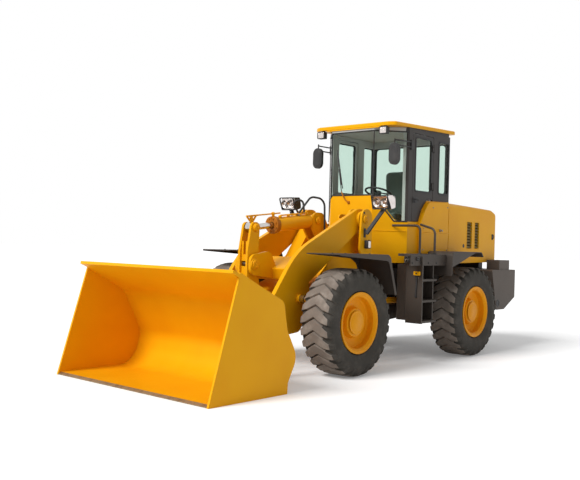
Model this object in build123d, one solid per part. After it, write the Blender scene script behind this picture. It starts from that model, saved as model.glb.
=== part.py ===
from build123d import *
import math
import os

# Wheel loader, three-tonne class. Millimetres, +Z up, +X forward, +Y to the operator's left.
# All places are measured from the hitch, the vertical pin line between the two frames, and
# on the ground. At export everything is moved so that the origin is the middle of the length.

os.makedirs("parts", exist_ok=True)

# ---- driving dimensions -------------------------------------------------------------------
wheelbase = 2830
tyre_radius = 640
tyre_width = 445
track_half = 918            # middle of a tyre from the machine's centre line
rim_radius = 318            # rim well, under the tyre bead
flange_radius = 362         # rim flange
bucket_width = 2507
lip_x = 3955                # cutting edge
rear_x = -2925              # back of the counterweight
roof_z = 3235
fit = 0.05                  # running clearance of a pin in its bore, on the radius
seam = 0.3                  # gap between two pieces that are bolted or welded together
side_gap = 8                # sideways clearance between a moving eye and its fork
axle_x = wheelbase / 2
axle_z = tyre_radius
origin_x = (lip_x + rear_x) / 2

# pivots, as (x, z)
arm_pivot = (585, 1900)
bucket_pivot = (2640, 245)
rocker_pivot = (2200, 1300)
rocker_top = (2150, 1735)
rocker_foot = (2080, 836)
link_pin = (2697, 575)
tilt_pivot = (985, 1865)
lift_base = (400, 850)
lift_eye = (1790, 900)
steer_base = (-620, 430)    # as (x, y), on the rear frame
steer_eye = (235, 330)      # as (x, y), on the front frame
steer_z = 800

# ---- thicknesses and pin sizes ------------------------------------------------------------
arm_y = 450                 # middle of an arm plate
arm_t = 60
pin_r = 35
hub_r = 130
fork_in = 360               # inner face of the frame's side plate
plate_t = 30
fork_out = 530              # inner face of the tower's outer plate
hitch_pin_r = 40
hitch_z = (600, 1150)       # heights of the two hitch joints
hitch_lug_t = 60
lift_y = 560                # middle of a lift cylinder
cab_half = 690
hood_half = 740
cab_rear = -1310            # rear wall of the cab
cab_front = 160
cab_quarter = -215
front_half = 360
wall_t = 40
sill_z = 1900
header_z = 3130
cab_top = 3180
glass_t = 8
glass_in = 6                # how far a pane lies behind the cab's outer face
door_front = -312
door_rear = -855
cab_floor_z = 1330
deck_z = 1460               # top of the walkway
deck_y = 1050               # outer edge of the walkway
swing_r = 725               # what turns with the front frame stays inside this radius of the hitch
steer_lock = 35             # steering angle to each side


def rounded_face(corners):
    # Closed outline from a table of corners. Columns: first axis, second axis, corner radius.
    count = len(corners)
    cuts = []
    for i, (x, z, r) in enumerate(corners):
        here = Vector(x, z)
        back = (Vector(*corners[i - 1][:2]) - here).normalized()
        ahead = (Vector(*corners[(i + 1) % count][:2]) - here).normalized()
        if r == 0:
            cuts.append((here, None, here))
            continue
        half = math.radians(back.get_angle(ahead)) / 2
        reach = r / math.tan(half)
        middle = here + (back + ahead).normalized() * (r / math.sin(half) - r)
        cuts.append((here + back * reach, middle, here + ahead * reach))
    edges = []
    for i in range(count):
        start, middle, end = cuts[i]
        if middle is not None:
            edges.append(ThreePointArc(start, middle, end))
        following = cuts[(i + 1) % count][0]
        if (following - end).length > 0.001:
            edges.append(Line(end, following))
    return make_face(edges)


def slab(face, y_low, y_high):
    # A side-view outline (x, z) made into a plate between two widths.
    return extrude(Plane.XZ.offset(-y_high) * face, y_high - y_low)


def along_x(face, x_low, x_high):
    # A front-view outline (y, z) made into a bar along the machine.
    return extrude(Plane.YZ.offset(x_low) * face, x_high - x_low)


def layer(face, z_low, z_high):
    # A plan-view outline (x, y) made into a plate between two heights.
    return extrude(Pos(0, 0, z_low) * face, z_high - z_low)


def block(x_low, x_high, y_low, y_high, z_low, z_high):
    size = (x_high - x_low, y_high - y_low, z_high - z_low)
    middle = ((x_low + x_high) / 2, (y_low + y_high) / 2, (z_low + z_high) / 2)
    return Pos(*middle) * Box(*size)


def cross_pin(point, radius, y_low, y_high):
    # A round bar across the machine at (x, z).
    bar = Cylinder(radius, y_high - y_low)
    return Pos(point[0], (y_low + y_high) / 2, point[1]) * Rot(90, 0, 0) * bar


def both_sides(shape):
    return shape + mirror(shape, about=Plane.XZ)


def cab_plan(inset):
    # The cab's plan, six-sided at the front, drawn in by a wall or part of a wall.
    reach = inset * math.tan(math.radians(20.7))
    return rounded_face([
        (cab_front - inset, front_half - reach, 0),
        (cab_quarter - inset * 0.38, cab_half - inset, 0),
        (cab_rear + inset, cab_half - inset, 0),
        (cab_rear + inset, -cab_half + inset, 0),
        (cab_quarter - inset * 0.38, -cab_half + inset, 0),
        (cab_front - inset, -front_half + reach, 0),
    ])


def save(name, shape):
    export_step(Pos(-origin_x, 0, 0) * shape, f"parts/{name}.step")


def tilted(point, target, y, shape):
    # Stands a shape drawn along +Z at a pivot, pointing at the target in the side view.
    angle = math.degrees(math.atan2(target[0] - point[0], target[1] - point[1]))
    return Pos(point[0], y, point[1]) * Rot(0, angle, 0) * shape


# ---- bucket -------------------------------------------------------------------------------
bucket_half = bucket_width / 2
side_t = 25
shell_t = 18
edge_t = 28
heel_x = 2845
bucket_top = (3577, 1262)
spill_lip = (3683, 1290)

# Inside of the shell in the side view. Columns: x, z, corner radius.
shell_inside = [
    (lip_x - 45, edge_t, 0),
    (2905, edge_t, 300),
    (2795, 410, 160),
    (3065, 930, 260),
    (3510, 1165, 0),
]
shell_outside = [
    (3510 - shell_t * 0.45, 1165 + shell_t, 0),
    (3065 - shell_t * 0.8, 930 + shell_t * 0.8, 260 + shell_t),
    (2795 - shell_t, 410, 160 + shell_t),
    (2905 - shell_t * 0.7, edge_t - shell_t, 300 + shell_t),
    (lip_x - 45, edge_t - shell_t, 0),
]
shell = slab(rounded_face(shell_inside + shell_outside), -bucket_half + side_t, bucket_half - side_t)
spill_bar = slab(
    rounded_face([
        (3440, 1150, 0),
        (3510, 1165, 0),
        (spill_lip[0], spill_lip[1] - 34, 6),
        (spill_lip[0] - 8, spill_lip[1], 6),
        (3440, 1186, 0),
    ]),
    -bucket_half + side_t,
    bucket_half - side_t,
)
bar_ends = both_sides(
    slab(
        rounded_face([
            (3585, 1215, 0),
            (spill_lip[0], spill_lip[1] - 34, 6),
            (spill_lip[0] - 8, spill_lip[1], 6),
            (3585, 1250, 0),
        ]),
        bucket_half - side_t,
        bucket_half,
    )
)
shell = shell + spill_bar
rib_face = rounded_face([(3140, 985, 0), (3445, 1147, 0), (3445, 1182, 0), (3300, 1150, 60)])
for y in (-900, -420, 0, 420, 900):
    shell = shell + slab(rib_face, y - 8, y + 8)
save("bucket_shell", shell)

# Side plate in the side view. Columns: x, z, corner radius.
side_outline = [
    (bucket_top[0], bucket_top[1], 0),
    (3235, 1098, 120),
    (2930, 960, 90),
    (2868, 660, 120),
    (2700, 370, 190),
    (2838, 120, 60),
    (heel_x, 0, 0),
    (lip_x, 0, 0),
]
side_plate = slab(rounded_face(side_outline), bucket_half - side_t, bucket_half)
save("bucket_sides", both_sides(side_plate) + bar_ends)

cutting_edge = slab(
    rounded_face([
        (3600, 0, 0),
        (lip_x - 10, 0, 0),
        (lip_x, 8, 0),
        (lip_x - 45, edge_t, 0),
        (lip_x - 45, edge_t - shell_t, 0),
        (3600, edge_t - shell_t, 0),
    ]),
    -bucket_half + side_t,
    bucket_half - side_t,
)
save("cutting_edge", cutting_edge)

# Lugs behind the shell: a pair for each arm, and a pair for the link in the middle.
ear_t = 32
arm_lug = rounded_face([
    (bucket_pivot[0] - 105, 330, 80),
    (bucket_pivot[0] - 105, 140, 95),
    (bucket_pivot[0] + 100, 118, 60),
    (2880, 165, 0),
    (2850, 300, 0),
    (2820, 480, 0),
    (2700, 400, 40),
])
link_lug = rounded_face([
    (link_pin[0] - 78, link_pin[1] + 70, 62),
    (link_pin[0] - 78, link_pin[1] - 75, 62),
    (2800, 430, 0),
    (2850, 500, 0),
    (3000, 800, 0),
    (2900, 820, 40),
])
arm_lug_in = arm_y - arm_t / 2 - 15 - side_gap
arm_lug_out = arm_y + arm_t / 2 + 15 + side_gap
link_t = 76
lugs = (
    slab(arm_lug, arm_lug_in - ear_t, arm_lug_in)
    + slab(arm_lug, arm_lug_out, arm_lug_out + ear_t)
    - cross_pin(bucket_pivot, pin_r, 0, 700)
)
lugs = both_sides(lugs)
lugs = lugs + both_sides(
    slab(link_lug, link_t / 2 + side_gap, link_t / 2 + side_gap + ear_t) - cross_pin(link_pin, pin_r, 0, 200)
)
# The lugs end on the back of the shell, which is a filled outline for this cut.
shell_fill = rounded_face(shell_outside + [(lip_x - 45, 1165, 0)])
lugs = lugs - slab(offset(shell_fill, seam), -bucket_half, bucket_half)
save("bucket_lugs", lugs)
link_pin_half = link_t / 2 + side_gap + ear_t
bucket_pins = cross_pin(link_pin, pin_r, -link_pin_half, link_pin_half)
bucket_pins = bucket_pins + both_sides(cross_pin(bucket_pivot, pin_r, arm_lug_in - ear_t, arm_lug_out + ear_t))
save("bucket_pins", bucket_pins)

# ---- lift arms ----------------------------------------------------------------------------
lift_pin_r = 30
lift_eye_t = 64
lift_tube_r = 58
# Arm plate in the side view, from the tower forward. Columns: x, z, corner radius.
arm_outline = [
    (arm_pivot[0] - hub_r, arm_pivot[1] + hub_r, 0.95 * hub_r),
    (arm_pivot[0] + 60, arm_pivot[1] + hub_r, 100),
    (1840, 1466, 1100),
    (2520, 560, 300),
    (bucket_pivot[0] + 100, bucket_pivot[1] + 75, 85),
    (bucket_pivot[0] + 90, bucket_pivot[1] - 125, 110),
    (bucket_pivot[0] - 90, bucket_pivot[1] - 125, 200),
    (1985, 480, 150),
    (1760, 500, 110),
    (1570, 800, 120),
    (1620, 1085, 60),
    (arm_pivot[0] + 30, arm_pivot[1] - hub_r - 20, 150),
    (arm_pivot[0] - hub_r, arm_pivot[1] - hub_r, 0.95 * hub_r),
]
arm = slab(rounded_face(arm_outline), arm_y - arm_t / 2, arm_y + arm_t / 2)
arm = arm + cross_pin(bucket_pivot, 100, arm_y - arm_t / 2 - 15, arm_y + arm_t / 2 + 15)
arm = arm + cross_pin(arm_pivot, 100, fork_in + plate_t + side_gap, fork_out - side_gap)
lift_boss_top = lift_y - lift_eye_t / 2 - side_gap
arm = arm + cross_pin(lift_eye, 50, arm_y, lift_boss_top)
arm = arm - cross_pin(bucket_pivot, pin_r + fit, 0, 700)
arm = arm - cross_pin(arm_pivot, pin_r + fit, 0, 700)
save("lift_arms", both_sides(arm))

# Box beam between the arms, with the two plates that carry the rocker.
beam_half = arm_y - arm_t / 2
beam_outside = rounded_face([
    (1560, 1400, 20),
    (1900, 1250, 15),
    (1860, 1115, 20),
    (1640, 1095, 20),
    (1540, 1250, 20),
])
beam_inside = offset(beam_outside, -22)
beam = slab(beam_outside, -beam_half, beam_half) - slab(beam_inside, -beam_half, beam_half)
rocker_t = 32
rocker_in = 48              # inner face of a rocker plate
bracket_in = rocker_in + rocker_t + side_gap
bracket_t = 40
bracket_outline = rounded_face([
    (rocker_pivot[0] + 70, rocker_pivot[1] + 105, 88),
    (rocker_pivot[0] + 70, rocker_pivot[1] - 125, 88),
    (1852, 1124, 0),
    (1888, 1246, 0),
    (1825, 1273, 0),
    (1930, 1460, 90),
])
bracket = slab(bracket_outline, bracket_in, bracket_in + bracket_t)
bracket = bracket + cross_pin(rocker_pivot, 68, bracket_in, bracket_in + bracket_t + 16)
bracket = bracket - cross_pin(rocker_pivot, pin_r, 0, 300)
save("arm_cross_beam", beam + both_sides(bracket))
arm_pins = cross_pin(rocker_pivot, pin_r, -bracket_in - bracket_t - 16, bracket_in + bracket_t + 16)
save("arm_pins", arm_pins)

# ---- rocker and link ----------------------------------------------------------------------
rocker_outline = rounded_face([
    (rocker_top[0] - 72, rocker_top[1] + 66, 62),
    (rocker_top[0] + 66, rocker_top[1] + 66, 62),
    (rocker_pivot[0] + 78, rocker_pivot[1] + 150, 200),
    (rocker_pivot[0] + 78, rocker_pivot[1] - 150, 200),
    (rocker_foot[0] + 72, rocker_foot[1] - 78, 60),
    (rocker_foot[0] - 70, rocker_foot[1] - 78, 60),
    (rocker_pivot[0] - 105, rocker_pivot[1] - 60, 120),
    (rocker_pivot[0] - 105, rocker_pivot[1] + 80, 160),
])
rocker_cheek = slab(rocker_outline, rocker_in, rocker_in + rocker_t)
rocker_cheek = rocker_cheek - cross_pin(rocker_pivot, pin_r + fit, 0, 200)
rocker_web = block(
    rocker_pivot[0] - 60, rocker_pivot[0] + 50, -rocker_in, rocker_in, rocker_pivot[1] - 180, rocker_pivot[1] + 270
)
rocker_slot = block(
    rocker_pivot[0] - 80, rocker_pivot[0] + 80, -18, 18, rocker_pivot[1] + 110, rocker_pivot[1] + 290
)
rocker_web = rocker_web - rocker_slot
rocker_web = rocker_web - cross_pin(rocker_pivot, 58, -rocker_in, rocker_in)
rocker_boss = both_sides(
    cross_pin(rocker_top, 50, rocker_in + rocker_t, rocker_in + rocker_t + side_gap + 14)
    + cross_pin(rocker_foot, 50, rocker_in + rocker_t, rocker_in + rocker_t + 18)
)
save("rocker_lever", both_sides(rocker_cheek) + rocker_web + rocker_boss)

link_end_r = 68
link_t_rod = 2 * rocker_in - 2 * side_gap
link_bar = rounded_face([
    (rocker_foot[0] - 62, rocker_foot[1] + 66, 58),
    (link_pin[0] + 66, link_pin[1] + 60, 58),
    (link_pin[0] + 56, link_pin[1] - 64, 58),
    (rocker_foot[0] - 66, rocker_foot[1] - 60, 58),
])
link_bar = slab(link_bar, -link_t / 2, link_t / 2) - cross_pin(link_pin, pin_r + fit, -100, 100)
save("bucket_link", link_bar)

# ---- hydraulic cylinders ------------------------------------------------------------------
gland_lip = 14              # how far a gland ring stands out from its tube


def cylinder_barrel(length, neck, base_t, radius, bore, eye_r, eye_t, pin, gland_t):
    # Drawn along +Z from its base eye: eye, flat neck, tube, and a gland ring at the mouth.
    upright = (Align.CENTER, Align.CENTER, Align.MIN)
    tube = Pos(0, 0, neck) * Cylinder(radius, length - neck, align=upright)
    gland = Pos(0, 0, length - gland_t) * Cylinder(radius + gland_lip, gland_t, align=upright)
    eye = Rot(90, 0, 0) * Cylinder(eye_r, eye_t)
    hollow = Pos(0, 0, neck + base_t) * Cylinder(bore, length, align=upright)
    flat = Pos(0, 0, neck / 2) * Box(1.5 * eye_r, eye_t, neck)
    return tube + gland + eye + flat - hollow - Rot(90, 0, 0) * Cylinder(pin + fit, eye_t + 100)


def cylinder_rod(inner, outer, radius, piston_r, piston_t, eye_r, eye_t, pin):
    # Drawn along +Z: the piston starts at the first height and the eye's middle is at the second.
    rod = Pos(0, 0, inner) * Cylinder(radius, outer - inner, align=(Align.CENTER, Align.CENTER, Align.MIN))
    piston = Pos(0, 0, inner) * Cylinder(piston_r, piston_t, align=(Align.CENTER, Align.CENTER, Align.MIN))
    eye = Pos(0, 0, outer) * Rot(90, 0, 0) * Cylinder(eye_r, eye_t)
    hole = Pos(0, 0, outer) * Rot(90, 0, 0) * Cylinder(pin + fit, eye_t + 100)
    return rod + piston + eye - hole


def distance(a, b):
    return math.hypot(b[0] - a[0], b[1] - a[1])


tilt_span = distance(tilt_pivot, rocker_top)
tilt_length = tilt_span - 375
tilt_barrel = cylinder_barrel(tilt_length, 118, 45, 92, 76, 76, 96, pin_r, 60)
# Guide for the level indicator, standing on the gland. Up is -X in the cylinder's own drawing.
level_rise = 140
level_r = 9
guide = Pos(-level_rise / 2 - 40, 0, tilt_length - 30) * Box(level_rise - 80, 24, 26)
guide = guide + Pos(-level_rise, 0, tilt_length - 30) * Cylinder(level_r + 12, 26)
guide = guide - Pos(-level_rise, 0, tilt_length - 30) * Cylinder(level_r + 2, 60)
tilt_barrel = tilt_barrel + guide
save("tilt_cylinder_barrel", tilted(tilt_pivot, rocker_top, 0, tilt_barrel))
tilt_rod = cylinder_rod(tilt_length - 320, tilt_span, 38, 74, 60, 66, link_t_rod, pin_r)
level_back = tilt_length - 160
level_bar = Pos(-level_rise, 0, (level_back + tilt_span) / 2) * Cylinder(level_r, tilt_span - level_back)
level_foot = Pos(-level_rise / 2 - 25, 0, tilt_span - 14) * Box(level_rise - 30, 20, 40)
tilt_rod = tilt_rod + level_bar + level_foot
save("tilt_cylinder_rod", tilted(tilt_pivot, rocker_top, 0, tilt_rod))

# Two pressure hoses, from ports on top of the tube back over the pivot and down beside the
# lugs. Columns of a point: x, y, z.
hose_r = 13
hose_runs = [
    [(1330, 30, 1924.8), (1110, 60, 2170), (890, 112, 2150), (885, 125, 1690)],
    [(1130, -25, 1940), (1150, -40, 2130), (1250, -140, 2110), (900, -130, 1690)],
]
hoses = Part()
for run, bend in zip(hose_runs, (115, 55)):
    line = FilletPolyline(*run, radius=bend)
    hoses = hoses + sweep(Plane(origin=line @ 0, z_dir=line % 0) * Circle(hose_r), path=line)
    end = Vector(*run[-1])
    hoses = hoses + Plane(origin=end, z_dir=line % 1) * Cylinder(hose_r + 7, 40)
save("tilt_hoses", hoses)

lift_span = distance(lift_base, lift_eye)
lift_length = lift_span - 140
lift_barrel = cylinder_barrel(lift_length, 60, 45, lift_tube_r, 46, 62, 70, lift_pin_r, 50)
save("lift_cylinder_barrels", both_sides(tilted(lift_base, lift_eye, lift_y, lift_barrel)))
lift_rod = cylinder_rod(110, lift_span, 28, 44, 50, 54, lift_eye_t, lift_pin_r)
# the pin in a rod's eye stays with the eye, and its inner end stands against the arm's boss
lift_pin = cross_pin(lift_eye, lift_pin_r, lift_boss_top + seam, lift_y + lift_eye_t / 2 + 14)
save("lift_cylinder_rods", both_sides(tilted(lift_base, lift_eye, lift_y, lift_rod)) + both_sides(lift_pin))

steer_span = distance(steer_base, steer_eye)
steer_pin_r = 20
steer_barrel = cylinder_barrel(550, 62, 20, 42, 32, 40, 50, steer_pin_r, 30)
steer_rod = cylinder_rod(steer_span - 558, steer_span, 20, 30, 25, 40, 46, steer_pin_r)
steer_ear_gap = 25 + side_gap
steer_eye_pin = Pos(0, 0, steer_span) * Rot(90, 0, 0) * Cylinder(steer_pin_r, 2 * steer_ear_gap - 2 * seam)
steer_rod = steer_rod + steer_eye_pin
steer_angle = math.degrees(math.atan2(steer_eye[1] - steer_base[1], steer_eye[0] - steer_base[0]))
for side, sign in (("left", 1), ("right", -1)):
    place = Pos(steer_base[0], sign * steer_base[1], steer_z) * Rot(0, 0, sign * steer_angle) * Rot(0, 90, 0)
    place = place * Rot(0, 0, 90)
    save(f"steer_{side}_barrel", place * steer_barrel)
    save(f"steer_{side}_rod", place * steer_rod)

# ---- front frame --------------------------------------------------------------------------
tower_face = rounded_face([
    (440, 2030, 125),
    (735, 2030, 125),
    (735, 1830, 200),
    (1060, 1400, 160),
    (1370, 1110, 120),
    (1790, 960, 60),
    (1790, 760, 30),
    (980, 760, 60),
    (760, 500, 60),
    (330, 500, 40),
    (330, 1250, 60),
    (440, 1500, 120),
])
outer_face = rounded_face([
    (440, 2030, 105),
    (660, 2030, 105),
    (680, 1700, 60),
    (690, 1500, 60),
    (600, 1340, 40),
    (430, 1340, 40),
])
frame_side = slab(tower_face, fork_in, fork_in + plate_t)
frame_side = frame_side + slab(outer_face, fork_out, fork_out + plate_t)
# web and floor between the inner and outer tower plates
frame_side = frame_side + block(440, 470, fork_in + plate_t, fork_out, 1360, 1720)
frame_side = frame_side + block(440, 600, fork_in + plate_t, fork_out, 1350, 1380)
# front cover of each tower box, from the side plate inwards
cover_in = 205
front_cover = rounded_face([
    (735, 1905, 0),
    (735, 1830, 200),
    (1060, 1400, 160),
    (1370, 1110, 120),
    (1790, 960, 0),
    (1790, 935, 0),
    (1358, 1086, 95),
    (1038, 1386, 135),
    (710, 1822, 175),
    (710, 1905, 0),
])
frame_side = frame_side + slab(front_cover, cover_in, fork_in)
inner_wall = rounded_face([
    (500, 1960, 60),
    (720, 1960, 60),
    (720, 1826, 180),
    (1045, 1393, 140),
    (1160, 1280, 0),
    (1160, 1250, 0),
    (500, 1250, 0),
])
frame_side = frame_side + slab(inner_wall, cover_in, cover_in + 20)
# boss that carries the foot of the lift cylinder
lift_boss_y = lift_y - lift_tube_r - side_gap
frame_side = frame_side + cross_pin(lift_base, 60, fork_in + plate_t, lift_boss_y)
frame_side = both_sides(frame_side)
middle_cover = slab(
    rounded_face([
        (1110, 1345, 0),
        (1370, 1110, 120),
        (1790, 960, 0),
        (1790, 935, 0),
        (1358, 1086, 95),
        (1090, 1326, 0),
    ]),
    -cover_in,
    cover_in,
)
rear_web = block(330, 360, -fork_in, fork_in, 500, 1250)
tower_web = block(500, 530, -cover_in, cover_in, 1250, 1700)
shelf = block(500, 930, -cover_in, cover_in, 1250, 1280)
tilt_lug = rounded_face([
    (tilt_pivot[0] - 105, tilt_pivot[1] + 105, 95),
    (tilt_pivot[0] + 105, tilt_pivot[1] + 105, 95),
    (tilt_pivot[0] + 105, tilt_pivot[1] - 110, 60),
    (900, 1500, 0),
    (560, 1500, 0),
])
tilt_lug_in = 48 + side_gap
tilt_lugs = both_sides(slab(tilt_lug, tilt_lug_in, tilt_lug_in + 30) - cross_pin(tilt_pivot, pin_r, 0, 200))
tie_plate = block(560, 900, -cover_in, cover_in, 1470, 1500)
nose_floor = block(1010, 1200, -fork_in, fork_in, 760, 790) + block(1640, 1790, -fork_in, fork_in, 760, 790)
nose_floor = nose_floor + both_sides(block(axle_x - 130, axle_x + 130, 290, fork_in, 760, 790))
hitch_ear = rounded_face([
    (-150, 105, 100),
    (360, 190, 0),
    (360, -190, 0),
    (-150, -105, 100),
])
ears = Part()
for z in hitch_z:
    ears = ears + layer(hitch_ear, z - hitch_lug_t / 2, z + hitch_lug_t / 2)
ears = ears - Pos(0, 0, 875) * Cylinder(hitch_pin_r + fit, 1000)
steer_ear = rounded_face([
    (steer_eye[0] - 45, steer_eye[1] + 45, 40),
    (steer_eye[0] - 45, steer_eye[1] - 60, 30),
    (360, steer_eye[1] - 90, 0),
    (360, steer_eye[1] + 30, 0),
])
steer_ears = layer(steer_ear, steer_z + steer_ear_gap, steer_z + steer_ear_gap + 25)
steer_ears = steer_ears + layer(steer_ear, steer_z - steer_ear_gap - 25, steer_z - steer_ear_gap)
steer_ears = both_sides(steer_ears)
front_frame = frame_side + middle_cover + rear_web + tower_web + shelf + tilt_lugs + tie_plate + nose_floor
front_frame = front_frame + ears + steer_ears
front_frame = front_frame - both_sides(Pos(*steer_eye, steer_z) * Cylinder(steer_pin_r, 200))
for y in (-1, 1):
    front_frame = front_frame - cross_pin(arm_pivot, pin_r, min(y * 340, y * 600), max(y * 340, y * 600))
save("front_frame", front_frame)

frame_pins = both_sides(cross_pin(arm_pivot, pin_r, fork_in, fork_out + plate_t + 10))
frame_pins = frame_pins + both_sides(cross_pin(lift_base, lift_pin_r, lift_boss_y, lift_y + 50))
for step in (1, -1):
    ear_stub = Pos(*steer_eye, steer_z + step * (steer_ear_gap + 15)) * Cylinder(steer_pin_r, 30)
    frame_pins = frame_pins + both_sides(ear_stub)
tilt_pin_half = tilt_lug_in + 30 + 10
frame_pins = frame_pins + cross_pin(tilt_pivot, pin_r, -tilt_pin_half, tilt_pin_half)
save("front_frame_pins", frame_pins)

# ---- axles and wheels ---------------------------------------------------------------------
disc_y = track_half + 40


def axle(x, z_top):
    beam = cross_pin((x, axle_z), 95, -560, 560)
    bowl = Pos(x, 0, axle_z) * Sphere(205)
    bowl = bowl & block(x - 180, x + 180, -190, 190, axle_z - 205, axle_z + 205)
    housing = both_sides(cross_pin((x, axle_z), 135, 420, 600))
    drum = both_sides(cross_pin((x, axle_z), 165, 600, 690))
    hub = both_sides(cross_pin((x, axle_z), 120, 690, disc_y))
    pads = both_sides(block(x - 130, x + 130, 290, 400, axle_z + 60, z_top))
    return beam + bowl + housing + drum + hub + pads


save("front_axle", axle(axle_x, 760))
save("rear_axle", axle(-axle_x, 780))

# Half sections of rim and tyre. Columns: distance from the wheel's middle plane (out +), radius.
half_tyre = tyre_width / 2
rim_profile = [
    (-half_tyre + 30, flange_radius - 22, 0),
    (-half_tyre + 30, flange_radius, 0),
    (-half_tyre + 45, flange_radius, 0),
    (-half_tyre + 62, rim_radius + 12, 0),
    (half_tyre - 62, rim_radius + 12, 0),
    (half_tyre - 45, flange_radius, 0),
    (half_tyre - 22, flange_radius, 4),
    (half_tyre - 22, flange_radius - 26, 4),
    (half_tyre - 50, rim_radius - 12, 0),
    (disc_y - track_half + 42, rim_radius - 12, 30),
    (disc_y - track_half + 22, 190, 20),
    (disc_y - track_half + 60, 176, 10),
    (half_tyre - 88, 168, 14),
    (half_tyre - 72, 0, 0),
    (disc_y - track_half, 0, 0),
    (disc_y - track_half, 190, 10),
    (disc_y - track_half + 14, rim_radius - 12, 30),
    (-half_tyre + 62, rim_radius - 12, 0),
]
tread_half = 55
tyre_profile = [
    (-half_tyre + 46, flange_radius + 1, 0),
    (-half_tyre + 12, flange_radius + 30, 20),
    (-half_tyre, 480, 90),
    (-half_tyre + 14, 590, 30),
    (-half_tyre + 60, tyre_radius - 10, 20),
    (-tread_half, tyre_radius, 300),
    (tread_half, tyre_radius, 300),
    (half_tyre - 60, tyre_radius - 10, 20),
    (half_tyre - 14, 590, 30),
    (half_tyre, 480, 90),
    (half_tyre - 12, flange_radius + 30, 20),
    (half_tyre - 46, flange_radius + 1, 0),
    (half_tyre - 62, rim_radius + 12, 0),
    (-half_tyre + 62, rim_radius + 12, 0),
]


def turned(profile):
    # Revolves a profile drawn as (width, radius) round the wheel's axle.
    face = Plane.YZ * rounded_face(profile)
    return revolve(face, Axis((0, 0, 0), (0, 1, 0)), 360)


tyre = turned(tyre_profile)
rim = turned(rim_profile)
for end, x in (("front", axle_x), ("rear", -axle_x)):
    for side, turn, y in (("left", 0, track_half), ("right", 180, -track_half)):
        place = Pos(x, y, axle_z) * Rot(0, 0, turn)
        save(f"{end}_{side}_tyre", place * tyre)
        save(f"{end}_{side}_rim", place * rim)

# ---- rear frame ---------------------------------------------------------------------------
rail_y = 330                # outer face of a frame rail
rail_t = 30
bulkhead_x = -360
rail_face = rounded_face([
    (bulkhead_x, 1240, 30),
    (bulkhead_x, 520, 30),
    (-900, 560, 60),
    (-1240, 780, 80),
    (-1600, 780, 80),
    (-1900, 700, 60),
    (-2760, 700, 30),
    (-2760, 1060, 60),
    (-1500, 1240, 60),
])
rear_frame = both_sides(slab(rail_face, rail_y - rail_t, rail_y))
rear_frame = rear_frame + block(bulkhead_x, bulkhead_x + 30, -rail_y, rail_y, 520, 1240)
for x_low, z_low in ((-1280, 1130), (-1660, 860), (-2460, 860), (-2760, 760)):
    rear_frame = rear_frame + block(x_low, x_low + 60, -rail_y + rail_t, rail_y - rail_t, z_low, z_low + 70)
rear_ear = rounded_face([
    (105, 105, 100),
    (bulkhead_x, 250, 0),
    (bulkhead_x, -250, 0),
    (105, -105, 100),
])
rear_ear_t = 32
for z in hitch_z:
    for step in (1, -1):
        z_near = z + step * (hitch_lug_t / 2 + side_gap)
        z_far = z_near + step * rear_ear_t
        rear_frame = rear_frame + layer(rear_ear, min(z_near, z_far), max(z_near, z_far))
rear_frame = rear_frame - Pos(0, 0, 875) * Cylinder(hitch_pin_r, 1000)
steer_foot = rounded_face([
    (steer_base[0] + 40, steer_base[1] + 40, 38),
    (steer_base[0] - 40, steer_base[1] + 40, 38),
    (steer_base[0] - 70, rail_y, 0),
    (steer_base[0] + 40, rail_y, 0),
])
steer_feet = layer(steer_foot, steer_z + 25 + side_gap, steer_z + 50 + side_gap)
steer_feet = steer_feet + layer(steer_foot, steer_z - 50 - side_gap, steer_z - 25 - side_gap)
rear_frame = rear_frame + both_sides(steer_feet)
# outriggers that carry the walkways, and posts for the cab floor
for x in (-250, -1180):
    rear_frame = rear_frame + block(x - 110, x - 50, -rail_y, rail_y, 1240, cab_floor_z)
rear_frame = rear_frame + block(-420, -300, -rail_y, rail_y, 1180, 1240)
steer_holes = Pos(*steer_base, steer_z) * Cylinder(steer_pin_r, 300)
rear_frame = rear_frame - both_sides(steer_holes)
# windows that let the steering cylinders swing
steer_window = block(-490, bulkhead_x + 40, 240, rail_y + 10, steer_z - 65, steer_z + 65)
rear_frame = rear_frame - both_sides(steer_window)
save("rear_frame", rear_frame)

pins = Part()
for z in hitch_z:
    reach = hitch_lug_t / 2 + side_gap + rear_ear_t + 12
    pins = pins + Pos(0, 0, z) * Cylinder(hitch_pin_r, 2 * reach)
steer_pin_half = 50 + side_gap
for sign in (1, -1):
    pins = pins + Pos(steer_base[0], sign * steer_base[1], steer_z) * Cylinder(steer_pin_r, 2 * steer_pin_half)
save("hitch_pins", pins)

engine = block(-2450, -1560, -290, 290, 930, 1700)
gearbox = block(-1230, -620, -260, 260, 620, 1130 - seam)
save("engine_and_gearbox", engine + gearbox)

# ---- hood, side boxes and counterweight ---------------------------------------------------
hood_t = 25
hood_front = -1245
hood_rear = -2715
hood_pivot = (-1340, 2200)
hood_side = rounded_face([
    (hood_front, 2214, 0),
    (-2560, 2166, 160),
    (hood_rear, 2100, 60),
    (hood_rear, 1375, 0),
    (-2560, 1345, 0),
    (-1560, 1330, 60),
    (-1400, 1500, 60),
    (hood_front, 1500, 0),
])
hood = slab(hood_side, -hood_half, hood_half)
hood_crown = rounded_face([
    (-hood_half, 1200, 0),
    (-hood_half, 2216, 90),
    (hood_half, 2216, 90),
    (hood_half, 1200, 0),
])
hood = hood & along_x(hood_crown, hood_rear - 50, hood_front + 50)
hood_hollow = slab(
    rounded_face([
        (hood_front + 50, 2214 - hood_t, 0),
        (-2560, 2166 - hood_t, 150),
        (hood_rear + 20, 2070, 40),
        (hood_rear - 50, 2040, 0),
        (hood_rear - 50, 1200, 0),
        (hood_front + 50, 1200, 0),
    ]),
    -hood_half + hood_t,
    hood_half - hood_t,
)
hood = hood - hood_hollow
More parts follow.
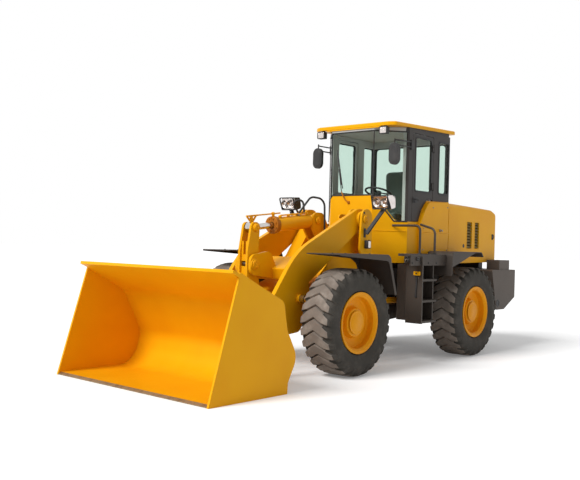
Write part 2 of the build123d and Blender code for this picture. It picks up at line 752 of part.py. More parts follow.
hood = hood - block(cab_rear - 15, hood_front + 50, -cab_half - 8, cab_half + 8, 1200, 2300)
for x_low, x_high in ((-1945, -1795), (-2170, -2040)):
    slot = rounded_face([(x_low, 1555, 12), (x_high, 1555, 12), (x_high, 1955, 12), (x_low, 1955, 12)])
    hood = hood - slab(slot, -hood_half - 10, hood_half + 10)
save("engine_hood", hood)

grille_x = hood_rear + 4
grille_half = hood_half - hood_t - 8
grille_low = 1395
grille_high = 2030
grille = block(grille_x, grille_x + 36, -grille_half, grille_half, grille_low, grille_high)
grille_count = 11
for i in range(grille_count):
    z = grille_low + 70 + i * (grille_high - grille_low - 140) / (grille_count - 1)
    grille = grille - block(grille_x - 10, grille_x + 50, -grille_half + 90, grille_half - 90, z - 15, z + 15)
save("rear_grille", grille)

# The radiator frame stands on the rear rails and carries the grille's hinges.
radiator = block(-2660, -2540, -560, 560, 1235, 2010)
save("radiator", radiator)

box_outline = rounded_face([
    (hood_front + 12, 1465, 0),
    (-500, 1465, 30),
    (-490, 1880, 60),
    (-570, 2050, 80),
    (-690, 2190, 90),
    (hood_front + 12, 2214, 0),
])
save("side_boxes", both_sides(slab(box_outline, cab_half + seam, hood_half)))

weight_side = rounded_face([
    (-2135, 1235, 20),
    (rear_x, 1235, 20),
    (rear_x, 800, 25),
    (-2560, 620, 25),
    (-2300, 620, 25),
])
weight = slab(weight_side, -1000, 1000)
rail_end = -2760
weight = weight - block(rail_end - seam, -2000, -rail_y - 6, rail_y + 6, 500, 1300)
weight = weight - block(-2490, -2000, -720, 720, 500, 1300)
# slot and vertical hole for a towing pin
tow_x = rear_x + 60
tow_pin_r = 21
weight = weight - block(rear_x - 10, tow_x + 60, -75, 75, 880, 960)
weight = weight - Pos(tow_x, 0, 810) * Cylinder(tow_pin_r, 500, align=(Align.CENTER, Align.CENTER, Align.MIN))
save("counterweight", weight)
tail_boxes = both_sides(block(-2740, -2400, 770, 985, 1235, 1385))
save("tail_boxes", tail_boxes)

# ---- walkways, ladders, tanks and fenders -------------------------------------------------
deck_front = 262
deck_rear = -655
deck_plan = rounded_face([
    (deck_front, deck_y, 25),
    (deck_rear, deck_y, 0),
    (deck_rear, cab_half + 4, 0),
    (-225, cab_half + 4, 0),
    (deck_front - 40, 300, 0),
    (deck_front, 420, 25),
])
deck = layer(deck_plan, deck_z - 30, deck_z)
valance = block(deck_rear, deck_front - 20, deck_y - 25, deck_y, deck_z - 150, deck_z - 30)
nose = block(deck_front - 25, deck_front, 420, deck_y - 30, deck_z - 120, deck_z - 30)
ladder_front = -10
ladder_rear = -400
step_in = 850
step_out = 1075
ladder = block(ladder_front - 25, ladder_front, step_in, step_out, 540, deck_z - 30)
ladder = ladder + block(ladder_rear, ladder_rear + 25, step_in, step_out - 60, 540, deck_z - 30)
for z in (545, 820, 1100):
    ladder = ladder + block(ladder_rear, ladder_front, step_in, step_out - 10, z, z + 28)
ladder = ladder + block(ladder_rear, ladder_front, step_in - 25, step_in, 540, deck_z - 30)
walkway = deck + valance + nose + ladder
walkway = walkway - layer(cab_plan(-4), 1000, 2000)
walkway = walkway - layer(Circle(swing_r), deck_z - 200, deck_z + 50)
# room for the tower and the raised lift cylinder at full lock, drawn straight ahead and turned
tower_side = fork_out + plate_t + side_gap
swing_side = lift_y + lift_tube_r + gland_lip + side_gap
swing_plan = rounded_face([
    (430, 0, 0),
    (430, tower_side, 0),
    (620, tower_side, 0),
    (620, swing_side, 0),
    (1400, swing_side, 0),
    (1400, 0, 0),
])
walkway = walkway - Rot(0, 0, steer_lock) * layer(swing_plan, deck_z - 200, deck_z + 50)
save("walkways", both_sides(walkway))

tank_plan = rounded_face([
    (-130, 825 - seam, 40),
    (-640, 825 - seam, 40),
    (-640, 505, 40),
    (-300, 505, 0),
    (-130, 600, 60),
])
tank = layer(tank_plan, 560, cab_floor_z - 10)
save("side_tanks", both_sides(tank))

fender_t = 12
fender_out = 1150
rear_fender = slab(
    rounded_face([
        (-650, 1170, 0),
        (-672, 1505, 70),
        (-1500, 1505, 60),
        (-1560, 1440, 0),
        (-1560 + 14, 1432, 0),
        (-1494, 1493, 48),
        (-684, 1493, 58),
        (-662, 1170, 0),
    ]),
    hood_half + 6,
    fender_out,
)
rear_valance = slab(
    rounded_face([(-672, 1493, 0), (-1330, 1493, 0), (-1180, 1450, 60), (-840, 1340, 60), (-668, 1290, 0)]),
    fender_out - fender_t,
    fender_out,
)
rear_web = slab(
    rounded_face([(-664, 1280, 0), (-680, 1495, 0), (-1500, 1495, 0), (-1500, 1465, 0), (-700, 1465, 0)]),
    hood_half + 6,
    hood_half + 6 + fender_t,
)
fender_seat = block(-1210, -700, hood_half + seam, hood_half + 8, 1470, 1495)
save("rear_fenders", both_sides(rear_fender + rear_valance + rear_web + fender_seat))

# Outer line of a front fender. Columns: x, z, corner radius.
front_arch = [
    (1860, 1452, 0),
    (860, 1452, 90),
    (700, 960, 0),
]
front_fender_in = swing_side
front_fender_face = rounded_face(front_arch + [(712, 956, 0), (870, 1440, 78), (1860, 1440, 0)])
front_web_face = rounded_face(
    front_arch + [(712, 956, 0), (800, 1170, 110), (880, 1330, 80), (1000, 1390, 100), (1860, 1440, 0)]
)
front_valance_face = rounded_face(
    front_arch + [(738, 947, 0), (840, 1250, 80), (890, 1372, 60), (1860, 1430, 0)]
)
front_fender = slab(front_fender_face, front_fender_in + fender_t, fender_out - fender_t)
front_fender = front_fender + slab(front_web_face, front_fender_in, front_fender_in + fender_t)
front_fender = front_fender + slab(front_valance_face, fender_out - fender_t, fender_out)
# arm under the lift cylinder, from the frame's side plate to the fender's inner web
fender_arm = block(712, 770, fork_in + plate_t + seam, front_fender_in + fender_t, 700, 735)
fender_arm = fender_arm + block(712, 770, front_fender_in, front_fender_in + fender_t, 735, 980)
save("front_fenders", both_sides(front_fender + fender_arm))

rail_r = 16


def tube(points, radii):
    # A bent tube of the handrail's size through a list of corners.
    path = FilletPolyline(*points, radius=radii)
    section = Plane(origin=path @ 0, z_dir=path % 0) * Circle(rail_r)
    return sweep(section, path=path)


rail_front = tube([(-50, 1000, deck_z), (-50, 1000, 1840), (-50, 560, 1840)], [70])
rail_rear = tube([(-430, 1000, deck_z), (-430, 1000, 1800), (-470, 744, 1868)], [90])
save("handrails", both_sides(rail_front + rail_rear))

# ---- lamps --------------------------------------------------------------------------------
lamp = (536, 800, 2120)
lamp_half = 135
housing = rounded_face([
    (lamp[0] - 95, lamp[2] - 60, 30),
    (lamp[0] + 10, lamp[2] - 92, 10),
    (lamp[0] + 60, lamp[2] + 85, 10),
    (lamp[0] - 60, lamp[2] + 92, 30),
])
# The outer corner of a lamp is swept back in plan. Columns: x, y, corner radius.
lamp_plan = layer(
    rounded_face([
        (lamp[0] - 100, lamp[1] - lamp_half, 20),
        (lamp[0] + 100, lamp[1] - lamp_half, 0),
        (lamp[0] + 100, lamp[1] + lamp_half - 70, 50),
        (lamp[0] + 20, lamp[1] + lamp_half, 60),
        (lamp[0] - 100, lamp[1] + lamp_half, 30),
    ]),
    lamp[2] - 100,
    lamp[2] + 100,
)
headlamp = slab(housing, lamp[1] - lamp_half, lamp[1] + lamp_half) & lamp_plan
lens = slab(
    rounded_face([
        (lamp[0] + 10, lamp[2] - 92, 0),
        (lamp[0] + 40, lamp[2] - 92, 10),
        (lamp[0] + 90, lamp[2] + 85, 10),
        (lamp[0] + 60, lamp[2] + 85, 0),
    ]),
    lamp[1] - lamp_half,
    lamp[1] + lamp_half,
)
lens = lens & lamp_plan
stalk_foot = (600, fork_out + plate_t, 1720)
stalk_top = (lamp[0] - 30, lamp[1], lamp[2] - 74)
stalk_line = Polyline(stalk_foot, (600, fork_out + plate_t + 40, 1720), stalk_top)
stalk = sweep(Plane(origin=stalk_line @ 0, z_dir=stalk_line % 0) * Rectangle(42, 42), path=stalk_line,
              transition=Transition.RIGHT)
save("headlamps", both_sides(headlamp + stalk))
save("headlamp_lenses", both_sides(lens))

# ---- cab ----------------------------------------------------------------------------------
body = layer(cab_plan(0), cab_floor_z, 2250) - layer(cab_plan(wall_t), deck_z, 2300)
front_sight = rounded_face([
    (-cab_half - 10, 2300, 0),
    (-cab_half - 10, sill_z, 0),
    (-560, sill_z, 90),
    (-420, 2150, 60),
    (-330, 2250, 0),
    (330, 2250, 0),
    (420, 2150, 60),
    (560, sill_z, 90),
    (cab_half + 10, sill_z, 0),
    (cab_half + 10, 2300, 0),
])
side_sight = rounded_face([
    (cab_quarter, 2300, 0),
    (cab_quarter, sill_z, 0),
    (-490, sill_z, 40),
    (-570, 2070, 80),
    (-700, 2210, 80),
    (cab_rear - 10, 2225, 0),
    (cab_rear - 10, 2300, 0),
])
body = body - along_x(front_sight, cab_quarter, cab_front + 10) - slab(side_sight, -cab_half - 10, cab_half + 10)
save("cab_body", body)

frame = layer(cab_plan(0), sill_z, cab_top) - layer(cab_plan(wall_t + 10), sill_z - 10, cab_top + 10)
frame = frame - slab(
    rounded_face([
        (cab_quarter, sill_z - 20, 0),
        (cab_quarter, sill_z, 0),
        (-490, sill_z, 40),
        (-570, 2070, 80),
        (-700, 2210, 80),
        (cab_rear - 10, 2225, 0),
        (cab_rear - 10, sill_z - 20, 0),
    ]),
    -cab_half - 10,
    cab_half + 10,
)
frame = frame - block(cab_quarter + 20, cab_front + 20, -cab_half - 10, cab_half + 10, sill_z - 20, header_z)
frame = frame - slab(
    rounded_face([
        (door_front, sill_z - 20, 0),
        (door_front, header_z, 30),
        (door_rear, header_z, 30),
        (door_rear, sill_z - 20, 0),
    ]),
    -cab_half - 10,
    cab_half + 10,
)
side_window = rounded_face([
    (-1007, 2330, 40),
    (-1007, header_z - 50, 40),
    (-1285, header_z - 50, 40),
    (-1285, 2330, 40),
])
frame = frame - slab(side_window, -cab_half - 10, cab_half + 10)
rear_window = rounded_face([
    (-625, 2330, 60),
    (-625, header_z - 50, 60),
    (625, header_z - 50, 60),
    (625, 2330, 60),
])
frame = frame - along_x(rear_window, cab_rear - 10, cab_rear + 100)

pane = layer(cab_plan(glass_in), sill_z, header_z) - layer(cab_plan(glass_in + glass_t), sill_z - 10, header_z + 10)
front_panes = pane & block(cab_quarter + 20, cab_front + 10, -cab_half, cab_half, sill_z, header_z)
above_panel = along_x(front_sight, cab_quarter, cab_front + 10)
above_panel = above_panel + block(cab_quarter, cab_front + 10, -cab_half - 10, cab_half + 10, 2250, header_z)
front_panes = front_panes & above_panel
for sign in (1, -1):
    corner = Pos(cab_front, sign * front_half, 2600) * Rot(0, 0, sign * 20) * Box(80, 6, 1400)
    front_panes = front_panes - corner
side_panes = pane & slab(side_window, -cab_half, cab_half)
rear_pane = pane & along_x(rear_window, cab_rear, cab_rear + 100)
save("cab_glass", front_panes + side_panes + rear_pane)

roof_plan = rounded_face([
    (178, 590, 30),
    (120, 690, 60),
    (-1470, 700, 60),
    (-1470, -700, 60),
    (120, -690, 60),
    (178, -590, 30),
])
roof_slope = 1.9
roof = layer(roof_plan, 0, 52)
roof = fillet(roof.faces().sort_by(Axis.Z)[-1].edges(), 18)
roof = Pos(0, 0, cab_top + 8) * Rot(0, roof_slope, 0) * roof
roof_skirt = layer(cab_plan(12), cab_top, cab_top + 70) & (
    Pos(0, 0, cab_top + 8) * Rot(0, roof_slope, 0) * Pos(0, 0, -100) * Box(
        4000, 3000, 100, align=(Align.CENTER, Align.CENTER, Align.MIN)
    )
)
visor_face = rounded_face([
    (-530, 3192, 0),
    (-430, 3162, 30),
    (430, 3162, 30),
    (530, 3192, 0),
])
roof = roof + along_x(visor_face, cab_front + 1, 174)
save("cab_roof", roof)
# the headlining closes the frame under the roof
save("cab_frame", frame + roof_skirt)

door_outline = rounded_face([
    (door_front - 6, sill_z + 8, 10),
    (-482, sill_z + 8, 40),
    (-562, 2084, 80),
    (-696, 2226, 80),
    (door_rear + 6, 2232, 0),
    (door_rear + 6, header_z - 8, 26),
    (door_front - 6, header_z - 8, 26),
])
door_window = rounded_face([
    (door_front - 69, 2330, 40),
    (door_rear + 50, 2330, 40),
    (door_rear + 50, header_z - 50, 40),
    (door_front - 69, header_z - 50, 40),
])
door = slab(door_outline, cab_half - wall_t, cab_half) - slab(door_window, 0, cab_half + 10)
hinge_line = (door_rear + 6, cab_half + 12)
for z in (2420, 2960):
    door = door + Pos(*hinge_line, z) * Cylinder(10, 110)
    door = door + block(hinge_line[0], hinge_line[0] + 45, cab_half, hinge_line[1] + 6, z - 45, z + 45)
door_pane = slab(door_window, cab_half - glass_in - glass_t, cab_half - glass_in)
for side in ("left", "right"):
    save(f"{side}_door", door if side == "left" else mirror(door, about=Plane.XZ))
    save(f"{side}_door_glass", door_pane if side == "left" else mirror(door_pane, about=Plane.XZ))

seat_x = -820
cushion = block(seat_x - 200, seat_x + 290, -245, 245, 1880, 1990)
cushion = fillet(cushion.edges(), 30)
back = Pos(seat_x - 235, 0, 2330) * Rot(0, -8, 0) * Box(120, 420, 700)
back = fillet(back.edges(), 35)
save("seat", cushion + back)
seat_stand = block(seat_x - 180, seat_x + 220, -190, 190, deck_z, 1880)
seat_stand = seat_stand + block(seat_x - 330, seat_x - 170, -180, 180, 1700, 1880)
save("seat_stand", seat_stand)

column_foot = (-200, 1460)
column_top = (-510, 2370)
column = tilted(column_foot, column_top, 0, Cylinder(45, distance(column_foot, column_top) - 40, align=(Align.CENTER, Align.CENTER, Align.MIN)))
column = column & block(-1000, 300, -200, 200, deck_z, 2600)
wheel_rim = Torus(190, 14) + Cylinder(36, 40)
for i in range(3):
    wheel_rim = wheel_rim + Rot(0, 0, i * 120) * Pos(100, 0, 0) * Box(180, 26, 14)
column_lean = math.degrees(math.atan2(column_top[0] - column_foot[0], column_top[1] - column_foot[1]))
column = column + Pos(column_top[0], 0, column_top[1]) * Rot(0, column_lean, 0) * Pos(0, 0, -42) * wheel_rim
console = block(-640, -330, -430, -300, deck_z, 2050)
save("cab_controls", column + console)

mirror_at = (100, 660, 2800)
mirror_tall = 295
mirror_r = 9
head = Pos(*mirror_at) * Rot(0, 90, 0) * extrude(RectangleRounded(mirror_tall, 160, 78), 22, both=True)
arm_pad = block(cab_quarter - 80, cab_quarter - 20, cab_half, cab_half + 26, 2890, 3020)
mirror_post = Pos(mirror_at[0], mirror_at[1], 2950) * Cylinder(mirror_r, 2 * mirror_r + 90)
side_mirror = head + arm_pad + mirror_post
for z in (2990, 2920):
    arm_line = FilletPolyline((cab_quarter - 50, cab_half + 13, z), (20, cab_half + 13, z), (mirror_at[0], mirror_at[1], z),
                              radius=30)
    side_mirror = side_mirror + sweep(Plane(origin=arm_line @ 0, z_dir=arm_line % 0) * Circle(mirror_r), path=arm_line)
save("mirrors", both_sides(side_mirror))

roof_lamp = Pos(170, 535, 3115) * Rot(0, 90, 0) * extrude(RectangleRounded(100, 120, 14), 30, both=True)
roof_lamp = roof_lamp + block(130, 160, 515, 555, 3140, 3182)
save("roof_lamps", both_sides(roof_lamp))
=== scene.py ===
import bpy
import bmesh
import math
from mathutils import Matrix, Vector


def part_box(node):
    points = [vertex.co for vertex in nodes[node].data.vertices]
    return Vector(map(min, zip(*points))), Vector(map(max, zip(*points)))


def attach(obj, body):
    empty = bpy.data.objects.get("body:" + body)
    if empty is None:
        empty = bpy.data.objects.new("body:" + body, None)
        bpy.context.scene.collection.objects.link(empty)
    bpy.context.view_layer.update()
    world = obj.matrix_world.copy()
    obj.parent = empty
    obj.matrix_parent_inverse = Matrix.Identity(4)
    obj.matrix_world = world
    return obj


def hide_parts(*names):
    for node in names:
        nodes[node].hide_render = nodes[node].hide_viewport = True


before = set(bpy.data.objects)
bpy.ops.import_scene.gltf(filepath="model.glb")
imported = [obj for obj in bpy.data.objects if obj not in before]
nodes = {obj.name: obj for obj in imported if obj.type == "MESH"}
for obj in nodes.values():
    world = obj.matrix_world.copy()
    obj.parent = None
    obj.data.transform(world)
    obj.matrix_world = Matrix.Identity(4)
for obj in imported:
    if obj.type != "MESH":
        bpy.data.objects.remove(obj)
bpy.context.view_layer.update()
hitchX = -0.515
print("frame loaded:", len(nodes), "pieces")


def spot(x, y, z):
    # a place measured from the hitch pin and the ground
    return Vector((x + hitchX, y, z))


walkwayEdge = 1.05
tiltFoot, tiltEye = spot(0.985, 0, 1.865), spot(2.150, 0, 1.735)
liftFoot, liftEye = spot(0.400, 0, 0.850), spot(1.790, 0, 0.900)

# camera and studio
camera = {
    "place": (8.5251, 6.6339, 1.5556),
    "yaw": 221.08,
    "pitch": 0.25,
    "roll": 1.57,
    "lens": 49.31,
}
studio = {
    "skyStrength": 0.46,
    "keyStrength": 3.1,
    "keyFrom": (1.0, -0.18, 0.85),
    "keySoftness": 24,
    "floorColour": (0.90, 0.90, 0.90),
    "floorRoughness": 0.9,
    "floorLift": 0.16,
    "floorHalf": 120,
}


def linear(red, green, blue):
    def one(c):
        c = c / 255
        return c / 12.92 if c <= 0.04045 else ((c + 0.055) / 1.055) ** 2.4
    return (one(red), one(green), one(blue), 1)


def makeCamera(c):
    yaw, pitch, roll = (math.radians(c[k]) for k in ("yaw", "pitch", "roll"))
    ahead = Vector((math.cos(yaw) * math.cos(pitch), math.sin(yaw) * math.cos(pitch), math.sin(pitch)))
    right = ahead.cross(Vector((0, 0, 1))).normalized()
    up = right.cross(ahead)
    tiltedRight = right * math.cos(roll) + up * math.sin(roll)
    tiltedUp = up * math.cos(roll) - right * math.sin(roll)
    data = bpy.data.cameras.new("camera")
    data.lens = c["lens"]
    data.sensor_width = 36
    data.clip_end = 300
    made = bpy.data.objects.new("camera", data)
    turn = Matrix((tiltedRight, tiltedUp, -ahead)).transposed().to_4x4()
    made.matrix_world = Matrix.Translation(c["place"]) @ turn
    bpy.context.scene.collection.objects.link(made)
    bpy.context.scene.camera = made


def makeSun(name, strength, fromSide, softness):
    data = bpy.data.lights.new(name, "SUN")
    data.energy = strength
    data.angle = math.radians(softness)
    made = bpy.data.objects.new(name, data)
    made.rotation_euler = Vector(fromSide).to_track_quat("Z", "Y").to_euler()
    bpy.context.scene.collection.objects.link(made)


def setInputs(node, values):
    for key, value in values.items():
        node.inputs[key].default_value = value


def addNode(tree, kind, values=None, **settings):
    node = tree.nodes.new(kind)
    for key, value in settings.items():
        setattr(node, key, value)
    setInputs(node, values or {})
    return node


def seenRays(tree):
    # 1 for what the camera sees directly, in a reflection or through glass
    path = addNode(tree, "ShaderNodeLightPath")
    first = addNode(tree, "ShaderNodeMath", operation="MAXIMUM")
    second = addNode(tree, "ShaderNodeMath", operation="MAXIMUM")
    tree.links.new(path.outputs["Is Camera Ray"], first.inputs[0])
    tree.links.new(path.outputs["Is Glossy Ray"], first.inputs[1])
    tree.links.new(first.outputs[0], second.inputs[0])
    tree.links.new(path.outputs["Is Transmission Ray"], second.inputs[1])
    return second.outputs[0]


def makeStudio(s):
    world = bpy.data.worlds.new("studio")
    bpy.context.scene.world = world
    world.use_nodes = True
    tree = world.node_tree
    background = tree.nodes["Background"]
    strength = addNode(tree, "ShaderNodeMapRange", {"To Min": s["skyStrength"], "To Max": 1.0})
    tree.links.new(seenRays(tree), strength.inputs["Value"])
    tree.links.new(strength.outputs["Result"], background.inputs["Strength"])
    background.inputs["Color"].default_value = (1, 1, 1, 1)

    mesh = bpy.data.meshes.new("floor")
    half = s["floorHalf"]
    mesh.from_pydata(
        [(-half, -half, 0), (half, -half, 0), (half, half, 0), (-half, half, 0)], [], [(0, 1, 2, 3)],
    )
    floor = bpy.data.objects.new("floor", mesh)
    bpy.context.scene.collection.objects.link(floor)
    paper = bpy.data.materials.new("studioFloor")
    paper.use_nodes = True
    tree = paper.node_tree
    shader = tree.nodes["Principled BSDF"]
    setInputs(shader, {
        "Base Color": (*s["floorColour"], 1), "Roughness": s["floorRoughness"], "Specular IOR Level": 0.0,
        "Emission Color": (1, 1, 1, 1),
    })
    lift = addNode(tree, "ShaderNodeMapRange", {"To Min": 0.0, "To Max": s["floorLift"]})
    tree.links.new(seenRays(tree), lift.inputs["Value"])
    tree.links.new(lift.outputs["Result"], shader.inputs["Emission Strength"])
    mesh.materials.append(paper)
    makeSun("keyLight", s["keyStrength"], s["keyFrom"], s["keySoftness"])


bpy.context.scene.view_settings.view_transform = "Standard"
makeCamera(camera)
makeStudio(studio)
print("camera and studio made")


# shader groups
def newGroup(name, inputs, outputs):
    tree = bpy.data.node_groups.new(name, "ShaderNodeTree")
    for socketName, kind, value in inputs:
        socket = tree.interface.new_socket(name=socketName, in_out="INPUT", socket_type=kind)
        socket.default_value = value
    for socketName, kind in outputs:
        tree.interface.new_socket(name=socketName, in_out="OUTPUT", socket_type=kind)
    return tree, tree.nodes.new("NodeGroupInput"), tree.nodes.new("NodeGroupOutput")


def feed(tree, socket, source):
    # a link where the source is a socket, otherwise a constant
    if isinstance(source, bpy.types.NodeSocket):
        tree.links.new(source, socket)
    else:
        socket.default_value = source


def mixColours(tree, factor, first, second):
    node = addNode(tree, "ShaderNodeMix", data_type="RGBA")
    for index, source in ((0, factor), (6, first), (7, second)):
        feed(tree, node.inputs[index], source)
    return node.outputs[2]


def maths(tree, operation, first, second=0.0, clamp=False):
    node = addNode(tree, "ShaderNodeMath", operation=operation, use_clamp=clamp)
    feed(tree, node.inputs[0], first)
    feed(tree, node.inputs[1], second)
    return node.outputs[0]


def times(tree, first, second, clamp=False):
    return maths(tree, "MULTIPLY", first, second, clamp)


def plus(tree, first, second, clamp=False):
    return maths(tree, "ADD", first, second, clamp)


def noise(tree, scale, detail=3.0, rough=0.55, stretch=None):
    place = addNode(tree, "ShaderNodeTexCoord").outputs["Object"]
    if stretch:
        mapping = addNode(tree, "ShaderNodeMapping", {"Scale": stretch})
        tree.links.new(place, mapping.inputs["Vector"])
        place = mapping.outputs["Vector"]
    node = addNode(tree, "ShaderNodeTexNoise", {"Detail": detail, "Roughness": rough})
    tree.links.new(place, node.inputs["Vector"])
    feed(tree, node.inputs["Scale"], scale)
    return node.outputs["Fac"]


def ramp(tree, value, low, high):
    node = addNode(
        tree, "ShaderNodeMapRange", {"From Min": low, "From Max": high}, interpolation_type="SMOOTHSTEP",
    )
    tree.links.new(value, node.inputs["Value"])
    return node.outputs["Result"]


def edgeGroup():
    # mask along a piece's edges, for wear and for a painted edge highlight, and a softened normal along them
    tree, given, out = newGroup(
        "edgeWear",
        [("Edge Radius", "NodeSocketFloat", 0.006), ("Breakup", "NodeSocketFloat", 22.0)],
        [("Edge", "NodeSocketFloat"), ("Normal", "NodeSocketVector")],
    )
    soft = addNode(tree, "ShaderNodeBevel", samples=6)
    tree.links.new(given.outputs["Edge Radius"], soft.inputs["Radius"])
    flat = addNode(tree, "ShaderNodeNewGeometry")
    match = addNode(tree, "ShaderNodeVectorMath", operation="DOT_PRODUCT")
    tree.links.new(soft.outputs["Normal"], match.inputs[0])
    tree.links.new(flat.outputs["Normal"], match.inputs[1])
    corner = maths(tree, "SUBTRACT", 1.0, match.outputs["Value"])
    broken = ramp(tree, noise(tree, given.outputs["Breakup"], 4.0, 0.65), 0.42, 0.66)
    litAndWornMask = times(tree, ramp(tree, corner, 0.03, 0.2), broken)
    tree.links.new(litAndWornMask, out.inputs["Edge"])
    tree.links.new(soft.outputs["Normal"], out.inputs["Normal"])
    return tree


def paintGroup():
    # sprayed paint: slow tone changes, fine orange peel and settled dust
    tree, given, out = newGroup(
        "sprayedPaint",
        [
            ("Colour", "NodeSocketColor", (0.8, 0.35, 0.01, 1)),
            ("Deep Colour", "NodeSocketColor", (0.6, 0.22, 0.005, 1)),
            ("Dust Colour", "NodeSocketColor", (0.45, 0.38, 0.28, 1)),
            ("Dust", "NodeSocketFloat", 0.1),
            ("Roughness", "NodeSocketFloat", 0.35),
        ],
        [("Colour", "NodeSocketColor"), ("Roughness", "NodeSocketFloat"), ("Height", "NodeSocketFloat")],
    )
    cloud = ramp(tree, noise(tree, 1.7, 2.0), 0.35, 0.68)
    tone = mixColours(tree, times(tree, cloud, 0.45), given.outputs["Colour"], given.outputs["Deep Colour"])
    streak = ramp(tree, noise(tree, 5.0, 4.0, 0.6, (1, 1, 0.18)), 0.5, 0.8)
    tone = mixColours(tree, times(tree, streak, 0.16), tone, given.outputs["Deep Colour"])
    facing = addNode(tree, "ShaderNodeSeparateXYZ")
    tree.links.new(addNode(tree, "ShaderNodeNewGeometry").outputs["Normal"], facing.inputs[0])
    upward = ramp(tree, facing.outputs["Z"], 0.3, 1.0)
    settled = ramp(tree, noise(tree, 9.0, 5.0, 0.7), 0.38, 0.75)
    dust = times(tree, plus(tree, times(tree, upward, settled), 0.12), given.outputs["Dust"], True)
    tree.links.new(mixColours(tree, dust, tone, given.outputs["Dust Colour"]), out.inputs["Colour"])
    uneven = times(tree, maths(tree, "SUBTRACT", noise(tree, 34.0, 3.0), 0.5), 0.16)
    rough = plus(tree, plus(tree, given.outputs["Roughness"], uneven), times(tree, dust, 0.4), True)
    tree.links.new(rough, out.inputs["Roughness"])
    peel = noise(tree, 240.0, 2.0)
    tree.links.new(plus(tree, times(tree, peel, 0.25), times(tree, cloud, 0.1)), out.inputs["Height"])
    return tree


def grainGroup():
    # fine pebble for plastic and rubber
    tree, given, out = newGroup(
        "pebbleGrain",
        [
            ("Colour", "NodeSocketColor", (0.03, 0.03, 0.03, 1)),
            ("Light Colour", "NodeSocketColor", (0.1, 0.09, 0.08, 1)),
            ("Scale", "NodeSocketFloat", 120.0),
            ("Scuff", "NodeSocketFloat", 0.4),
            ("Roughness", "NodeSocketFloat", 0.7),
        ],
        [("Colour", "NodeSocketColor"), ("Roughness", "NodeSocketFloat"), ("Height", "NodeSocketFloat")],
    )
    grain = noise(tree, given.outputs["Scale"], 4.0, 0.6)
    patch = ramp(tree, noise(tree, 6.0, 5.0, 0.65), 0.4, 0.75)
    scuffed = times(tree, patch, given.outputs["Scuff"])
    tree.links.new(
        mixColours(tree, scuffed, given.outputs["Colour"], given.outputs["Light Colour"]), out.inputs["Colour"],
    )
    rough = plus(tree, given.outputs["Roughness"], times(tree, maths(tree, "SUBTRACT", grain, 0.5), 0.2), True)
    tree.links.new(rough, out.inputs["Roughness"])
    tree.links.new(grain, out.inputs["Height"])
    return tree


def metalGroup():
    # machined steel: fine turning lines and oily patches
    tree, given, out = newGroup(
        "machinedSteel",
        [
            ("Colour", "NodeSocketColor", (0.5, 0.5, 0.5, 1)),
            ("Oil Colour", "NodeSocketColor", (0.2, 0.17, 0.13, 1)),
            ("Roughness", "NodeSocketFloat", 0.3),
            ("Oil", "NodeSocketFloat", 0.3),
        ],
        [("Colour", "NodeSocketColor"), ("Roughness", "NodeSocketFloat"), ("Height", "NodeSocketFloat")],
    )
    oily = times(tree, ramp(tree, noise(tree, 14.0, 4.0, 0.6), 0.45, 0.7), given.outputs["Oil"])
    tree.links.new(
        mixColours(tree, oily, given.outputs["Colour"], given.outputs["Oil Colour"]), out.inputs["Colour"],
    )
    lines = noise(tree, 60.0, 3.0, 0.6, (1, 1, 9))
    rough = plus(tree, given.outputs["Roughness"], times(tree, maths(tree, "SUBTRACT", lines, 0.5), 0.2), True)
    tree.links.new(rough, out.inputs["Roughness"])
    tree.links.new(lines, out.inputs["Height"])
    return tree


edgeWear = edgeGroup()
sprayedPaint = paintGroup()
pebbleGrain = grainGroup()
machinedSteel = metalGroup()


def useGroup(tree, group, p):
    # each input takes the value of the same name, where there is one
    node = addNode(tree, "ShaderNodeGroup", node_tree=group)
    for socket in node.inputs:
        first, *rest = socket.name.split()
        key = first.lower() + "".join(rest)
        if key in p:
            socket.default_value = p[key]
    return node


def newMaterial(name, viewColour):
    material = bpy.data.materials.new(name)
    material.use_nodes = True
    material.diffuse_color = viewColour
    return material, material.node_tree, material.node_tree.nodes["Principled BSDF"]


def bumped(tree, shader, height, normal, strength, distance):
    bump = addNode(tree, "ShaderNodeBump", {"Strength": strength, "Distance": distance})
    tree.links.new(height, bump.inputs["Height"])
    tree.links.new(normal, bump.inputs["Normal"])
    tree.links.new(bump.outputs["Normal"], shader.inputs["Normal"])


def surface(tree, group, p, edgeColour):
    # a group's effect, its edges, and its colour with the edge colour mixed in along the edges: wear, and on
    # the yellow paints a painted highlight
    base = useGroup(tree, group, p)
    edge = useGroup(tree, edgeWear, p)
    # edge colour mixed in along edges: a painted highlight on the yellow paints, wear on the others
    litAndWornMask = times(tree, edge.outputs["Edge"], p["wear"])
    return base, edge, mixColours(tree, litAndWornMask, base.outputs["Colour"], edgeColour)


def paintMaterial(name, p):
    material, tree, shader = newMaterial(name, p["colour"])
    paint, edge, colour = surface(tree, sprayedPaint, p, p["edgeColour"])
    tree.links.new(colour, shader.inputs["Base Color"])
    tree.links.new(paint.outputs["Roughness"], shader.inputs["Roughness"])
    setInputs(shader, {
        "Specular Tint": p["gloss"], "Specular IOR Level": p["specular"],
        "Coat Weight": p["coat"], "Coat Roughness": p["coatRoughness"],
    })
    bumped(tree, shader, paint.outputs["Height"], edge.outputs["Normal"], p["peel"], 0.002)
    return material


